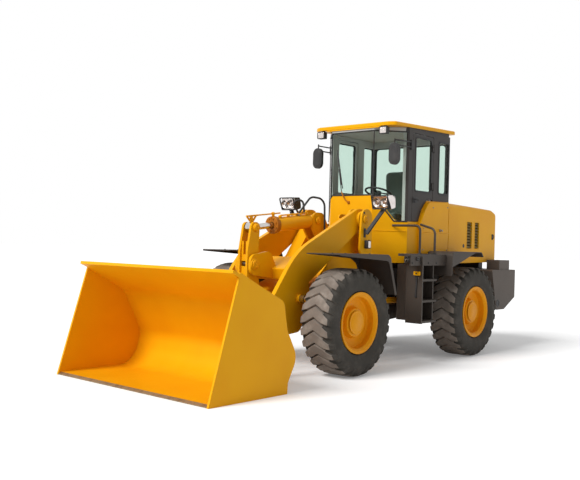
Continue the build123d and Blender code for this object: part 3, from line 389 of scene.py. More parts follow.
def cabMaterial(name, p, trim, corner):
    # the frame's outer paint, and a lighter lining on what faces the inside
    material, tree, shader = newMaterial(name, p["colour"])
    paint, edge, outside = surface(tree, sprayedPaint, p, p["edgeColour"])
    place = addNode(tree, "ShaderNodeSeparateXYZ")
    tree.links.new(addNode(tree, "ShaderNodeTexCoord").outputs["Object"], place.inputs[0])
    within = maths(tree, "LESS_THAN", maths(tree, "ABSOLUTE", place.outputs["Y"]), corner[1])
    within = times(tree, within, maths(tree, "GREATER_THAN", place.outputs["X"], corner[0]))
    tree.links.new(mixColours(tree, within, outside, trim), shader.inputs["Base Color"])
    rough = plus(tree, paint.outputs["Roughness"], times(tree, within, p["liningRoughness"]))
    tree.links.new(rough, shader.inputs["Roughness"])
    setInputs(shader, {"Specular IOR Level": p["specular"]})
    bumped(tree, shader, paint.outputs["Height"], edge.outputs["Normal"], p["peel"], 0.002)
    return material


def grainMaterial(name, p):
    material, tree, shader = newMaterial(name, p["colour"])
    grain, edge, colour = surface(tree, pebbleGrain, p, p["lightColour"])
    tree.links.new(colour, shader.inputs["Base Color"])
    tree.links.new(grain.outputs["Roughness"], shader.inputs["Roughness"])
    setInputs(shader, {"Specular IOR Level": p["specular"]})
    bumped(tree, shader, grain.outputs["Height"], edge.outputs["Normal"], p["bump"], 0.003)
    return material


def steelMaterial(name, p):
    material, tree, shader = newMaterial(name, p["colour"])
    steel = useGroup(tree, machinedSteel, p)
    edge = useGroup(tree, edgeWear, {"edgeRadius": 0.003})
    tree.links.new(steel.outputs["Colour"], shader.inputs["Base Color"])
    tree.links.new(steel.outputs["Roughness"], shader.inputs["Roughness"])
    setInputs(shader, {"Metallic": 1.0})
    bumped(tree, shader, steel.outputs["Height"], edge.outputs["Normal"], p["bump"], 0.001)
    return material


def glassMaterial(name, p):
    material, tree, shader = newMaterial(name, p["colour"])
    haze = ramp(tree, noise(tree, 3.0, 4.0), 0.4, 0.8)
    colour = mixColours(tree, times(tree, haze, 0.25), p["colour"], p["haze"])
    tree.links.new(colour, shader.inputs["Base Color"])
    tree.links.new(plus(tree, times(tree, haze, 0.05), p["roughness"]), shader.inputs["Roughness"])
    setInputs(shader, {"Transmission Weight": 1.0, "IOR": p["ior"]})
    return material


# the lighter yellow edge colour is a painted highlight along edges, broken up like wear; the rim, cylinder and
# gland paints take it over
yellowPaint = {
    "colour": linear(232, 166, 8), "deepColour": linear(224, 152, 4), "dustColour": linear(226, 178, 70),
    "dust": 0.06, "roughness": 0.42, "edgeRadius": 0.006, "edgeColour": linear(255, 210, 80), "wear": 0.5,
    "coat": 0.0, "gloss": linear(255, 214, 110), "specular": 0.35, "coatRoughness": 0.12, "peel": 0.12,
}
darkPaint = {
    "colour": linear(62, 55, 50), "deepColour": linear(48, 43, 40), "dustColour": linear(108, 98, 88),
    "dust": 0.25, "roughness": 0.5, "edgeRadius": 0.005, "edgeColour": linear(110, 102, 94), "wear": 0.6,
    "coat": 0.03, "gloss": linear(235, 225, 212), "specular": 0.35, "coatRoughness": 0.12, "peel": 0.2,
}
weightPaint = dict(darkPaint, colour=linear(80, 71, 65), deepColour=linear(64, 57, 52))
cabPaint = {
    "colour": linear(54, 49, 46), "deepColour": linear(43, 39, 38), "dustColour": linear(92, 84, 78),
    "dust": 0.12, "roughness": 0.42, "edgeRadius": 0.005, "edgeColour": linear(96, 90, 86), "wear": 0.4,
    "specular": 0.25, "liningRoughness": 0.35, "peel": 0.15,
}
rimPaint = dict(yellowPaint, colour=linear(232, 154, 12), deepColour=linear(212, 132, 8), dust=0.1)
cylinderPaint = dict(yellowPaint, colour=linear(236, 164, 14), deepColour=linear(220, 142, 8), edgeRadius=0.003)
rustPaint = dict(
    yellowPaint, colour=linear(176, 104, 26), deepColour=linear(132, 72, 24), dust=0.1, edgeRadius=0.002,
)
tyreRubber = {
    "colour": linear(60, 57, 52), "lightColour": linear(104, 98, 92), "scale": 90.0, "scuff": 0.3,
    "roughness": 0.82, "edgeRadius": 0.008, "wear": 0.5, "specular": 0.25, "bump": 0.35,
}
treadRubber = dict(tyreRubber, colour=linear(116, 106, 97), lightColour=linear(158, 148, 138), scuff=0.6)
blackPlastic = {
    "colour": linear(34, 33, 33), "lightColour": linear(84, 80, 77), "scale": 160.0, "scuff": 0.2,
    "roughness": 0.55, "edgeRadius": 0.004, "wear": 0.35, "specular": 0.45, "bump": 0.2,
}
hoseRubber = dict(blackPlastic, colour=linear(30, 30, 31), scale=220.0, edgeRadius=0.002, roughness=0.6)
trimPlastic = dict(blackPlastic, colour=linear(122, 124, 122), lightColour=linear(150, 150, 146), wear=0.1)
oliveSlat = dict(blackPlastic, colour=linear(104, 84, 20), lightColour=linear(150, 118, 30))
chromeRod = {
    "colour": linear(204, 202, 200), "oilColour": linear(160, 138, 110), "roughness": 0.16, "oil": 0.25,
    "bump": 0.03,
}
pinSteel = {
    "colour": linear(150, 142, 132), "oilColour": linear(92, 74, 52), "roughness": 0.42, "oil": 0.5,
    "bump": 0.15,
}
edgeSteel = {
    "colour": linear(164, 146, 116), "oilColour": linear(110, 86, 52), "roughness": 0.5, "oil": 0.5,
    "bump": 0.2,
}
reflector = {
    "colour": linear(226, 218, 214), "oilColour": linear(200, 186, 180), "roughness": 0.22, "oil": 0.3,
    "bump": 0.05,
}
cabGlass = {"colour": linear(226, 240, 233), "haze": linear(214, 228, 221), "roughness": 0.02, "ior": 1.1}
lampGlass = {"colour": linear(240, 240, 238), "haze": linear(222, 222, 218), "roughness": 0.05, "ior": 1.25}
orangeLens = {"colour": linear(240, 120, 20), "haze": linear(220, 96, 12), "roughness": 0.15, "ior": 1.3}
redLens = {"colour": linear(190, 24, 16), "haze": linear(160, 14, 10), "roughness": 0.15, "ior": 1.3}
seatFabric = {
    "colour": linear(98, 108, 100), "lightColour": linear(124, 132, 124), "scale": 420.0, "scuff": 0.25,
    "roughness": 0.9, "edgeRadius": 0.003, "wear": 0.2, "specular": 0.15, "bump": 0.5,
}

cabLow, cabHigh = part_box("cab_frame")
cabInner = (cabLow.x + 0.045, cabHigh.y - 0.035)
looks = {
    "yellow": paintMaterial("yellowPaint", yellowPaint),
    "dark": paintMaterial("darkPaint", darkPaint),
    "cabDark": cabMaterial("cabDarkPaint", cabPaint, linear(176, 178, 174), cabInner),
    "rim": paintMaterial("rimPaint", rimPaint),
    "cylinder": paintMaterial("cylinderPaint", cylinderPaint),
    "tyre": grainMaterial("tyreRubber", tyreRubber),
    "tread": grainMaterial("treadRubber", treadRubber),
    "plastic": grainMaterial("blackPlastic", blackPlastic),
    "hose": grainMaterial("hoseRubber", hoseRubber),
    "chrome": steelMaterial("chromeRod", chromeRod),
    "pin": steelMaterial("pinSteel", pinSteel),
    "edge": steelMaterial("edgeSteel", edgeSteel),
    "glass": glassMaterial("cabGlass", cabGlass),
    "lens": glassMaterial("lampGlass", lampGlass),
    "orange": glassMaterial("orangeLens", orangeLens),
    "red": glassMaterial("redLens", redLens),
    "weight": paintMaterial("counterweightPaint", weightPaint),
    "rust": paintMaterial("glandPaint", rustPaint),
    "trim": grainMaterial("cabTrim", trimPlastic),
    "olive": grainMaterial("louvreSlat", oliveSlat),
    "reflector": steelMaterial("lampReflector", reflector),
    "fabric": grainMaterial("seatFabric", seatFabric),
}
print("materials made:", len(looks))

finishes = {
    "yellow": (
        "front_frame", "lift_arms", "arm_cross_beam", "rocker_lever", "bucket_link", "bucket_shell",
        "bucket_sides", "bucket_lugs", "engine_hood", "side_boxes", "cab_body", "cab_roof",
    ),
    "dark": (
        "rear_frame", "walkways", "side_tanks", "rear_fenders", "front_fenders", "handrails", "rear_grille",
        "engine_and_gearbox", "front_axle", "rear_axle", "radiator",
    ),
    "weight": ("counterweight", "tail_boxes"),
    "cabDark": ("cab_frame", "left_door", "right_door"),
    "plastic": ("seat_stand", "cab_controls", "mirrors", "headlamps", "roof_lamps"),
    "hose": ("tilt_hoses",),
    "rim": ("front_left_rim", "front_right_rim", "rear_left_rim", "rear_right_rim"),
    "cylinder": ("tilt_cylinder_barrel", "lift_cylinder_barrels", "steer_left_barrel", "steer_right_barrel"),
    "chrome": ("tilt_cylinder_rod", "lift_cylinder_rods", "steer_left_rod", "steer_right_rod"),
    "pin": ("arm_pins", "bucket_pins", "front_frame_pins", "hitch_pins"),
    "edge": ("cutting_edge",),
    "glass": ("cab_glass", "left_door_glass", "right_door_glass"),
    "lens": ("headlamp_lenses",),
}
for look, names in finishes.items():
    for name in names:
        node = nodes[name]
        node.data.materials.clear()
        node.data.materials.append(looks[look])
for name in finishes["glass"]:
    nodes[name].visible_shadow = False    # daylight comes in through the panes
    nodes[name].visible_diffuse = False

# the level bar on the tilt rod and the outer ends of the lamps have a finish of their own
rod = nodes["tilt_cylinder_rod"]
rod.data.materials.append(looks["cylinder"])
rodLine = (tiltEye - tiltFoot).normalized()
for face in rod.data.polygons:
    away = (rod.matrix_world @ face.center) - tiltFoot
    if (away - rodLine * away.dot(rodLine)).z > 0.07:
        face.material_index = 1
lampBody = nodes["headlamps"]
lampBody.data.materials.append(looks["reflector"])
lensLow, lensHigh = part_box("headlamp_lenses")
for face in lampBody.data.polygons:
    place = lampBody.matrix_world @ face.center
    outward = abs(place.y) > 0.85 and face.normal.y * place.y > 0.5 * abs(place.y)
    if outward and place.x > lensLow.x - 0.09 and lensLow.z + 0.012 < place.z < lensHigh.z - 0.012:
        face.material_index = 1


def meshPiece(name, vertices, faces, look, body):
    mesh = bpy.data.meshes.new(name)
    mesh.from_pydata(vertices, [], faces)
    piece = bpy.data.objects.new(name, mesh)
    bpy.context.scene.collection.objects.link(piece)
    softenMesh(mesh)
    mesh.materials.append(looks[look])
    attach(piece, body)
    return piece


def softenMesh(mesh, sharpest=math.radians(38)):
    # smooth faces that meet in sharp edges
    work = bmesh.new()
    work.from_mesh(mesh)
    bmesh.ops.remove_doubles(work, verts=work.verts, dist=1e-6)
    bmesh.ops.recalc_face_normals(work, faces=work.faces)
    for face in work.faces:
        face.smooth = True
    for edge in work.edges:
        if len(edge.link_faces) == 2 and edge.calc_face_angle(0) > sharpest:
            edge.smooth = False
    work.to_mesh(mesh)
    work.free()


def gridFaces(rows, columns, rowLoop=False, columnLoop=True):
    # four-sided faces over rows of vertices
    faces = []
    for i in range(rows if rowLoop else rows - 1):
        j = (i + 1) % rows
        for k in range(columns if columnLoop else columns - 1):
            n = (k + 1) % columns
            faces.append((i * columns + k, i * columns + n, j * columns + n, j * columns + k))
    return faces


def circle(axis, count, first=0.0):
    # unit directions round an axis
    along = Vector(axis).normalized()
    side = along.orthogonal().normalized()
    other = along.cross(side)
    angles = [first + 2 * math.pi * i / count for i in range(count)]
    return along, [side * math.cos(a) + other * math.sin(a) for a in angles]


class Build:
    # gathers the vertices and faces of one piece
    def __init__(self):
        self.vertices = []
        self.faces = []

    def add(self, vertices, faces):
        start = len(self.vertices)
        self.vertices += [tuple(v) for v in vertices]
        self.faces += [tuple(start + i for i in face) for face in faces]

    def take(self, work):
        # adds a bmesh and frees it
        work.verts.index_update()
        self.add([v.co.copy() for v in work.verts], [tuple(v.index for v in f.verts) for f in work.faces])
        work.free()

    def ring(self, profile, centre, segments, axis=(0, 1, 0), closed=True):
        # turns a (distance along axis, radius) profile round the axis
        along, spokes = circle(axis, segments)
        vertices = [Vector(centre) + along * w + out * r for out in spokes for w, r in profile]
        self.add(vertices, gridFaces(segments, len(profile), True, closed))

    def nut(self, centre, radius, height, axis, sides=6):
        # a hexagon nut with a chamfered top
        along, spokes = circle(axis, sides)
        levels = ((0, 1), (0.8, 1), (1, 0.86))
        vertices = [
            Vector(centre) + along * height * level + out * radius * size
            for level, size in levels for out in spokes
        ]
        self.add(vertices, [tuple(range(2 * sides, 3 * sides))] + gridFaces(len(levels), sides))

    def box(self, low, high, chamfer=0.003):
        # a box between two opposite corners, with its edges broken
        work = bmesh.new()
        bmesh.ops.create_cube(work, size=1)
        size, middle = Vector(high) - Vector(low), (Vector(high) + Vector(low)) / 2
        for vertex in work.verts:
            vertex.co = Vector([vertex.co[i] * abs(size[i]) + middle[i] for i in range(3)])
        if chamfer:
            bmesh.ops.bevel(
                work, geom=list(work.edges), offset=chamfer, segments=2, affect="EDGES", profile=0.5,
            )
        self.take(work)

    def prism(self, outline, place, low, high, chamfer=0.0):
        rings = [(outline, low)]
        if chamfer:
            rings += [(outline, high - chamfer), (offsetOutline(outline, -chamfer), high)]
        else:
            rings += [(outline, high)]
        count = len(outline)
        vertices = [place(p.x, p.y, w) for ring, w in rings for p in ring]
        ends = [tuple(range(count)), tuple(reversed(range((len(rings) - 1) * count, len(rings) * count)))]
        self.add(vertices, ends + gridFaces(len(rings), count))

    def strip(self, outline, inner, outer, place, low, high):
        # a flat band that follows a closed outline
        rings = [offsetOutline(outline, inner), offsetOutline(outline, outer)]
        rings = [(rings[0], low), (rings[0], high), (rings[1], high), (rings[1], low)]
        vertices = [place(p.x, p.y, w) for ring, w in rings for p in ring]
        self.add(vertices, gridFaces(len(rings), len(outline), True))

    def tube(self, line, radius, sides=12, wave=0.0):
        # a round bar along a line; wave makes the ripples of a weld
        line = [Vector(p) for p in line]
        ahead = (line[1] - line[0]).normalized()
        side = ahead.orthogonal().normalized()
        vertices = []
        for i, p in enumerate(line):
            after = line[min(i + 1, len(line) - 1)] - line[max(i - 1, 0)]
            if after.length > 1e-9:
                ahead = after.normalized()
            side = (side - ahead * side.dot(ahead)).normalized()
            other = ahead.cross(side)
            r = radius * (1 + wave * math.sin(i * 2.2))
            for k in range(sides):
                a = 2 * math.pi * k / sides
                vertices.append(p + (side * math.cos(a) + other * math.sin(a)) * r)
        ends = [tuple(reversed(range(sides))), tuple(range((len(line) - 1) * sides, len(line) * sides))]
        self.add(vertices, ends + gridFaces(len(line), sides))

    def cap(self, centre, radius, axis, bolts=2):
        # a pin's end: stepped cap, grease nipple and keeper bolts
        self.ring(
            [(0, 0), (0.012, 0), (0.012, radius * 0.86), (0.009, radius * 0.96), (0, radius)], centre, 28, axis,
            False,
        )
        self.ring(
            [(0.012, 0), (0.026, 0), (0.026, 0.004), (0.022, 0.006), (0.012, 0.0075)], centre, 10, axis, False,
        )
        along = Vector(axis).normalized()
        side = Vector((0, 0, 1)) if abs(along.z) < 0.5 else Vector((1, 0, 0))
        for k in range(bolts):
            a = 2 * math.pi * k / bolts + 0.4
            away = Matrix.Rotation(a, 3, along) @ side
            self.nut(Vector(centre) + along * 0.012 + away * radius * 0.6, 0.011, 0.008, axis)

    def done(self, name, look, body="rear_frame"):
        return meshPiece(name, self.vertices, self.faces, look, body)


# tyres
tyre = {
    "lugs": 27,
    "segments": 108,
    "carcass": (
        (0.168, 0.352), (0.176, 0.372), (0.196, 0.380), (0.204, 0.396), (0.214, 0.430), (
            0.2165, 0.436,
        ), (0.2165, 0.446),
        (0.2195, 0.452), (0.2215, 0.490), (0.219, 0.540), (
            0.209, 0.575,
        ), (0.190, 0.596), (0.150, 0.606), (0.0, 0.610),
    ),
    # outer y and radius, inner y and radius, half width, lag behind the middle
    "lug": (
        (0.000, 0.6400, 0.000, 0.600, 0.062, 0.000),
        (0.060, 0.6398, 0.060, 0.600, 0.062, 0.034),
        (0.116, 0.6385, 0.112, 0.598, 0.061, 0.066),
        (0.126, 0.6380, 0.122, 0.597, 0.055, 0.072),
        (0.168, 0.6340, 0.158, 0.590, 0.045, 0.094),
        (0.195, 0.6240, 0.178, 0.582, 0.036, 0.106),
        (0.211, 0.6040, 0.190, 0.568, 0.032, 0.112),
        (0.2195, 0.5760, 0.198, 0.552, 0.029, 0.115),
        (0.2220, 0.5460, 0.204, 0.538, 0.026, 0.117),
    ),
}


def makeTyre(name, cadNode, body):
    low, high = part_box(cadNode)
    centre = (low + high) / 2
    build = Build()
    half = list(tyre["carcass"])
    profile = half + [(-y, r) for y, r in reversed(half[:-1])]
    build.ring(profile, centre, tyre["segments"], closed=False)
    stations = [(-a, b, -c, d, e, f) for a, b, c, d, e, f in reversed(tyre["lug"][1:])] + list(tyre["lug"])
    soft = 0.005
    for i in range(tyre["lugs"]):
        middle = 2 * math.pi * i / tyre["lugs"]
        vertices = []
        for yo, ro, yi, ri, width, lag in stations:
            turn = middle - lag / ro
            for angle, y, r in (
                (turn - (width + 0.008) / ri, yi, ri),
                (
                    turn - width / ro, yo - math.copysign(soft if abs(yo) > 0.2 else 0, yo),
                    ro - (0 if abs(yo) > 0.2 else soft),
                ),
                (turn - (width - soft) / ro, yo, ro),
                (turn + (width - soft) / ro, yo, ro),
                (
                    turn + width / ro, yo - math.copysign(soft if abs(yo) > 0.2 else 0, yo),
                    ro - (0 if abs(yo) > 0.2 else soft),
                ),
                (turn + (width + 0.008) / ri, yi, ri),
            ):
                vertices.append((centre.x + r * math.cos(angle), centre.y + y, centre.z + r * math.sin(angle)))
        count = len(stations)
        ends = [(0, 1, 2, 3, 4, 5), tuple((count - 1) * 6 + k for k in (5, 4, 3, 2, 1, 0))]
        build.add(vertices, ends + gridFaces(count, 6))
    piece = build.done(name, "tyre", body)
    piece.data.materials.append(looks["tread"])
    for face in piece.data.polygons:
        reach = math.hypot(face.center.x - centre.x, face.center.z - centre.z)
        if reach > 0.614 and abs(face.center.y - centre.y) < 0.205:
            face.material_index = 1
    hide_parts(cadNode)


wheelDetail = {
    "capReach": 0.1505, "capRadius": 0.142, "seamRadius": 0.118, "beadInner": 0.344, "beadOuter": 0.366,
}


def makeWheelDetail(name, side, rimNode, body):
    # pressed ring and rounded edge on the hub's cap, and the lock ring round the rim
    low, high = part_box(rimNode)
    centre = (low + high) / 2
    outer = 1 if side == "left" else -1
    d = wheelDetail
    build = Build()
    face = (centre.x, centre.y + outer * d["capReach"], centre.z)
    seam, cap, beadInner, beadOuter = (d[k] for k in ("seamRadius", "capRadius", "beadInner", "beadOuter"))
    pressed = [
        (0, 0.0), (0.0035, 0.0), (0.0035, seam - 0.004), (0.001, seam), (0.001, seam + 0.004),
        (0.0035, seam + 0.008), (0.003, cap - 0.004), (0, cap),
    ]
    build.ring(pressed, face, 56, (0, outer, 0), False)
    rim = (centre.x, (high.y if outer > 0 else low.y), centre.z)
    lockRing = [
        (-0.012, beadInner + 0.010), (0.0, beadInner + 0.006), (0.004, beadInner + 0.010),
        (0.004, beadOuter - 0.006), (0.0, beadOuter), (-0.012, beadOuter - 0.004),
    ]
    build.ring(lockRing, rim, 72, (0, outer, 0))
    build.done(name, "rim", body)


for end in ("front", "rear"):
    for side in ("left", "right"):
        title = end + side.capitalize()
        body = f"{end}_{side}_wheel"
        makeTyre(title + "Tyre", f"{end}_{side}_tyre", body)
        makeWheelDetail(title + "HubDetail", side, f"{end}_{side}_rim", body)
print("tyres made")

# shapes for the fitted details
def roundedOutline(corners, steps=6):
    # closed outline from corners of (first, second, radius)
    points = []
    for i, (a, b, r) in enumerate(corners):
        here = Vector((a, b))
        back = (Vector(corners[i - 1][:2]) - here).normalized()
        ahead = (Vector(corners[(i + 1) % len(corners)][:2]) - here).normalized()
        if r <= 0:
            points.append(here)
            continue
        half = back.angle(ahead) / 2
        centre = here + (back + ahead).normalized() * (r / math.sin(half))
        start = here + back * (r / math.tan(half)) - centre
        end = here + ahead * (r / math.tan(half)) - centre
        first = math.atan2(start.y, start.x)
        sweep = (math.atan2(end.y, end.x) - first + math.pi) % (2 * math.pi) - math.pi
        for k in range(steps + 1):
            a = first + sweep * k / steps
            points.append(centre + Vector((math.cos(a), math.sin(a))) * r)
    return points


def roundedPlate(a0, b0, a1, b1, radius, steps=6):
    # a rounded rectangle between two opposite corners
    corners = [(a0, b0, radius), (a1, b0, radius), (a1, b1, radius), (a0, b1, radius)]
    return roundedOutline(corners, steps)


def offsetOutline(points, amount):
    # grows (+) or shrinks (-) a closed outline
    area = sum(points[i - 1].x * p.y - p.x * points[i - 1].y for i, p in enumerate(points))
    sign = 1 if area > 0 else -1
    moved = []
    for i, p in enumerate(points):
        before = (p - points[i - 1]).normalized()
        after = (points[(i + 1) % len(points)] - p).normalized()
        normal = Vector((before.y + after.y, -before.x - after.x)).normalized() * sign
        moved.append(p + normal * amount)
    return moved


def onSide(sign, y):
    # outline (x from the hitch, z) drawn on the left or right side, w outwards
    return lambda u, v, w: Vector((u + hitchX, sign * (y + w), v))


def onFront(x, facing=1):
    # outline (y, z) drawn on a face that looks forwards or backwards, w outwards
    return lambda u, v, w: Vector((x + hitchX + facing * w, u, v))


def roundedRun(points, radius, steps=5):
    # open line through points in space with its corners rounded
    line = [Vector(points[0])]
    for i in range(1, len(points) - 1):
        here = Vector(points[i])
        back = Vector(points[i - 1]) - here
        ahead = Vector(points[i + 1]) - here
        reach = min(radius, back.length * 0.45, ahead.length * 0.45)
        start = here + back.normalized() * reach
        end = here + ahead.normalized() * reach
        for k in range(steps + 1):
            t = k / steps
            line.append(start * (1 - t) ** 2 + here * 2 * t * (1 - t) + end * t ** 2)
    line.append(Vector(points[-1]))
    return line


def beadLine(start, end, step=0.006):
    start, end = Vector(start), Vector(end)
    count = max(2, int((end - start).length / step))
    return [start.lerp(end, i / count) for i in range(count + 1)]


# cab
cab = {
    "half": 0.69, "front": 0.16, "rear": -1.31, "quarter": -0.215, "frontHalf": 0.36,
    "sealWidth": 0.013,
    # two opposite corners of each window as x or y and z, then the radius
    "doorWindow": (-0.381, 2.33, -0.805, 3.08, 0.04),
    "sideWindow": (-1.007, 2.33, -1.285, 3.08, 0.04),
    "rearWindow": (-0.625, 2.33, 0.625, 3.08, 0.06),
}


def quarterX(y):
    # where the slanted quarter lies across the cab
    y = abs(y)
    if y <= cab["frontHalf"]:
        return cab["front"]
    slope = (cab["quarter"] - cab["front"]) / (cab["half"] - cab["frontHalf"])
    return cab["front"] + (y - cab["frontHalf"]) * slope


def makeSeals():
    w = cab["sealWidth"]
    fixed = Build()
    for side, sign in (("left", 1), ("right", -1)):
        seal = Build()
        seal.strip(roundedPlate(*cab["doorWindow"]), -w, w, onSide(sign, cab["half"]), -0.006, 0.004)
        seal.done(side + "DoorSeal", "hose", side + "_door")
        fixed.strip(roundedPlate(*cab["sideWindow"]), -w, w, onSide(sign, cab["half"]), -0.006, 0.004)
        run = [(0.0, 2.25), (0.33, 2.25), (0.42, 2.15), (0.56, 1.9), (0.688, 1.9)]
        dense = []
        for (y0, z0), (y1, z1) in zip(run, run[1:]):
            dense += [(y0 + (y1 - y0) * k / 6, z0 + (z1 - z0) * k / 6) for k in range(6)]
        dense.append(run[-1])
        fixed.tube([spot(quarterX(y) - 0.002, sign * y, z) for y, z in dense], 0.010)
        fixed.tube([spot(0.158, sign * 0.361, z) for z in (2.22, 2.6, 3.13)], 0.008)
        fixed.tube([spot(quarterX(y) - 0.002, sign * y, 3.128) for y in (0.0, 0.2, 0.36, 0.5, 0.68)], 0.010)
    fixed.strip(roundedPlate(*cab["rearWindow"]), -w, w, onFront(cab["rear"], -1), -0.006, 0.004)
    fixed.done("windowSeals", "hose")


def makeWiper():
    arm = Build()
    arm.tube(
        roundedRun([spot(0.175, -0.04, 2.15), spot(0.185, -0.10, 2.20), spot(0.182, -0.155, 2.30)], 0.03),
        0.009, 10,
    )
    arm.ring(
        [(0, 0), (0.022, 0), (0.022, 0.016), (0.014, 0.022), (0, 0.024)], spot(0.158, -0.04, 2.15), 20,
        (1, 0, 0), False,
    )
    arm.done("wiperArm", "rust", "rear_frame")
    blade = Build()
    blade.tube(
        roundedRun([spot(0.182, -0.155, 2.30), spot(0.178, -0.185, 2.45), spot(0.176, -0.215, 2.62)], 0.03),
        0.006, 8,
    )
    blade.box(spot(0.161, -0.006, 0), spot(0.170, 0.006, 0.56), 0.002)
    blade.box(spot(0.168, -0.010, 0.05), spot(0.176, 0.010, 0.51), 0.002)
    lean = math.radians(11)
    turned = []
    base = spot(0, -0.150, 2.345)
    for v in blade.vertices:
        v = Vector(v)
        if v.z < 1:
            v = Vector((
                v.x, base.y + v.y * math.cos(lean) - v.z * math.sin(lean),
                base.z + v.y * math.sin(lean) + v.z * math.cos(lean),
            ))
        turned.append(tuple(v))
    blade.vertices = turned
    blade.done("wiperBlade", "plastic")


def makeDoorFurniture():
    for side, sign in (("left", 1), ("right", -1)):
        handle = Build()
        plate = roundedPlate(-0.335, 2.165, -0.455, 2.245, 0.012)
        handle.prism(plate, onSide(sign, cab["half"]), 0.0, 0.007, 0.003)
        grip = [
            (-0.35, 0.007, 2.215), (-0.352, 0.038, 2.215), (-0.40, 0.042, 2.215), (-0.44, 0.040, 2.213),
            (-0.442, 0.007, 2.212),
        ]
        handle.tube([spot(x, sign * (cab["half"] + y), z) for x, y, z in grip], 0.009, 10)
        handle.ring(
            [(0, 0), (0.011, 0), (0.011, 0.009), (0.007, 0.012), (0, 0.013)],
            spot(-0.37, sign * (cab["half"] + 0.006), 2.185), 18, (0, sign, 0), False,
        )
        for z in (2.42, 2.96):
            for dx in (0.018, 0.036):
                for dz in (-0.028, 0.028):
                    handle.nut(
                        spot(-0.849 + dx, sign * (cab["half"] + 0.018), z + dz), 0.007, 0.005, (0, sign, 0),
                    )
        handle.done(side + "DoorHandle", "plastic", side + "_door")


def cushionForm(build, centre, size, tilt, crown, pull, channels, bolster):
    # a crowned pad: sides pull in between the corners, channels are sewn across
    work = bmesh.new()
    bmesh.ops.create_cube(work, size=2)
    bmesh.ops.subdivide_edges(work, edges=work.edges, cuts=15, use_grid_fill=True)
    turn = Matrix.Rotation(math.radians(tilt), 3, "Y")
    for vertex in work.verts:
        a, b, c = vertex.co
        soft = 0.82
        length = max(abs(a), abs(b), abs(c))
        round3 = (abs(a) ** 5 + abs(b) ** 5 + abs(c) ** 5) ** 0.2
        a, b, c = (v * (soft * length / round3 + 1 - soft) for v in (a, b, c))
        x = a * size[0] * (1 - pull * (1 - b * b))
        y = b * size[1] * (1 - pull * (1 - a * a))
        z = c * size[2]
        swell = crown * (1 - a * a) * (1 - b * b) + bolster * max(0, abs(b) - 0.55) ** 1.5
        z += swell * (1 if c > 0 else 0.15)
        for at in channels:
            z -= 0.010 * math.exp(-((a - at) / 0.035) ** 2) * (1 if c > 0.3 else 0) * (1 - abs(b) ** 6)
        vertex.co = turn @ Vector((x, y, z)) + Vector(centre)
    build.take(work)


def makeSeat():
    low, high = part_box("seat")
    pads = Build()
    cushionForm(
        pads, ((low.x + high.x) / 2 + 0.07, 0, 1.955), (0.255, 0.25, 0.065), -4, 0.022, 0.035, (-0.3, 0.35),
        0.10,
    )
    cushionForm(
        pads, (low.x + 0.145, 0, 2.335), (0.345, 0.190, 0.062), 98 - 180, 0.02, 0.03, (-0.45, 0.0, 0.45), 0.09,
    )
    piece = pads.done("seatPads", "fabric")
    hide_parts("seat")
    shell = Build()
    shell.box((low.x + 0.045, -0.2, 2.0), (low.x + 0.075, 0.2, 2.62), 0.012)
    for sign in (1, -1):
        shell.box(
            (low.x + 0.14, sign * 0.235 - 0.028, 2.155), (low.x + 0.40, sign * 0.235 + 0.028, 2.195), 0.016,
        )
        shell.box(
            (low.x + 0.12, sign * 0.235 - 0.014, 1.98), (low.x + 0.165, sign * 0.235 + 0.014, 2.17), 0.008,
        )
    shell.done("seatFrame", "plastic", "rear_frame")


def makeControls():
    dash = Build()
    face = roundedOutline([(-0.30, 2.02, 0.03), (-0.10, 2.06, 0.03), (-0.06, 1.75, 0.04), (-0.22, 1.72, 0.04)])
    dash.prism(face, lambda u, v, w: Vector((u + hitchX, w, v)), -0.21, 0.21)
    dash.done("instrumentPanel", "trim")
    levers = Build()
    for x, lean in ((-0.36, -0.05), (-0.44, -0.02), (-0.52, 0.02)):
        levers.tube(
            roundedRun(
                [spot(x, -0.365, 2.04), spot(x + lean, -0.365, 2.16), spot(x + lean * 1.6, -0.36, 2.25)], 0.03,
            ),
            0.007, 8,
        )
        levers.ring(
            [(0, 0), (0.0, 0.012), (0.015, 0.022), (0.04, 0.024), (0.056, 0.016), (0.06, 0)],
            spot(x + lean * 1.6, -0.36, 2.24), 16, (0, 0, 1), False,
        )
    for y in (-0.12, 0.14):
        levers.box(spot(-0.30, y - 0.045, 1.50), spot(-0.20, y + 0.045, 1.515), 0.004)
        levers.tube([spot(-0.21, y, 1.507), spot(-0.12, y, 1.46)], 0.010, 8)
    levers.done("leversAndPedals", "plastic")


makeSeals()
makeWiper()
makeDoorFurniture()
makeSeat()
makeControls()
print("cab details made")


# lamps and mirrors
lampFace = {"lean": 0.050, "height": 0.177, "inset": 0.029, "bowls": ((0.735, 0.060), (0.855, 0.056))}


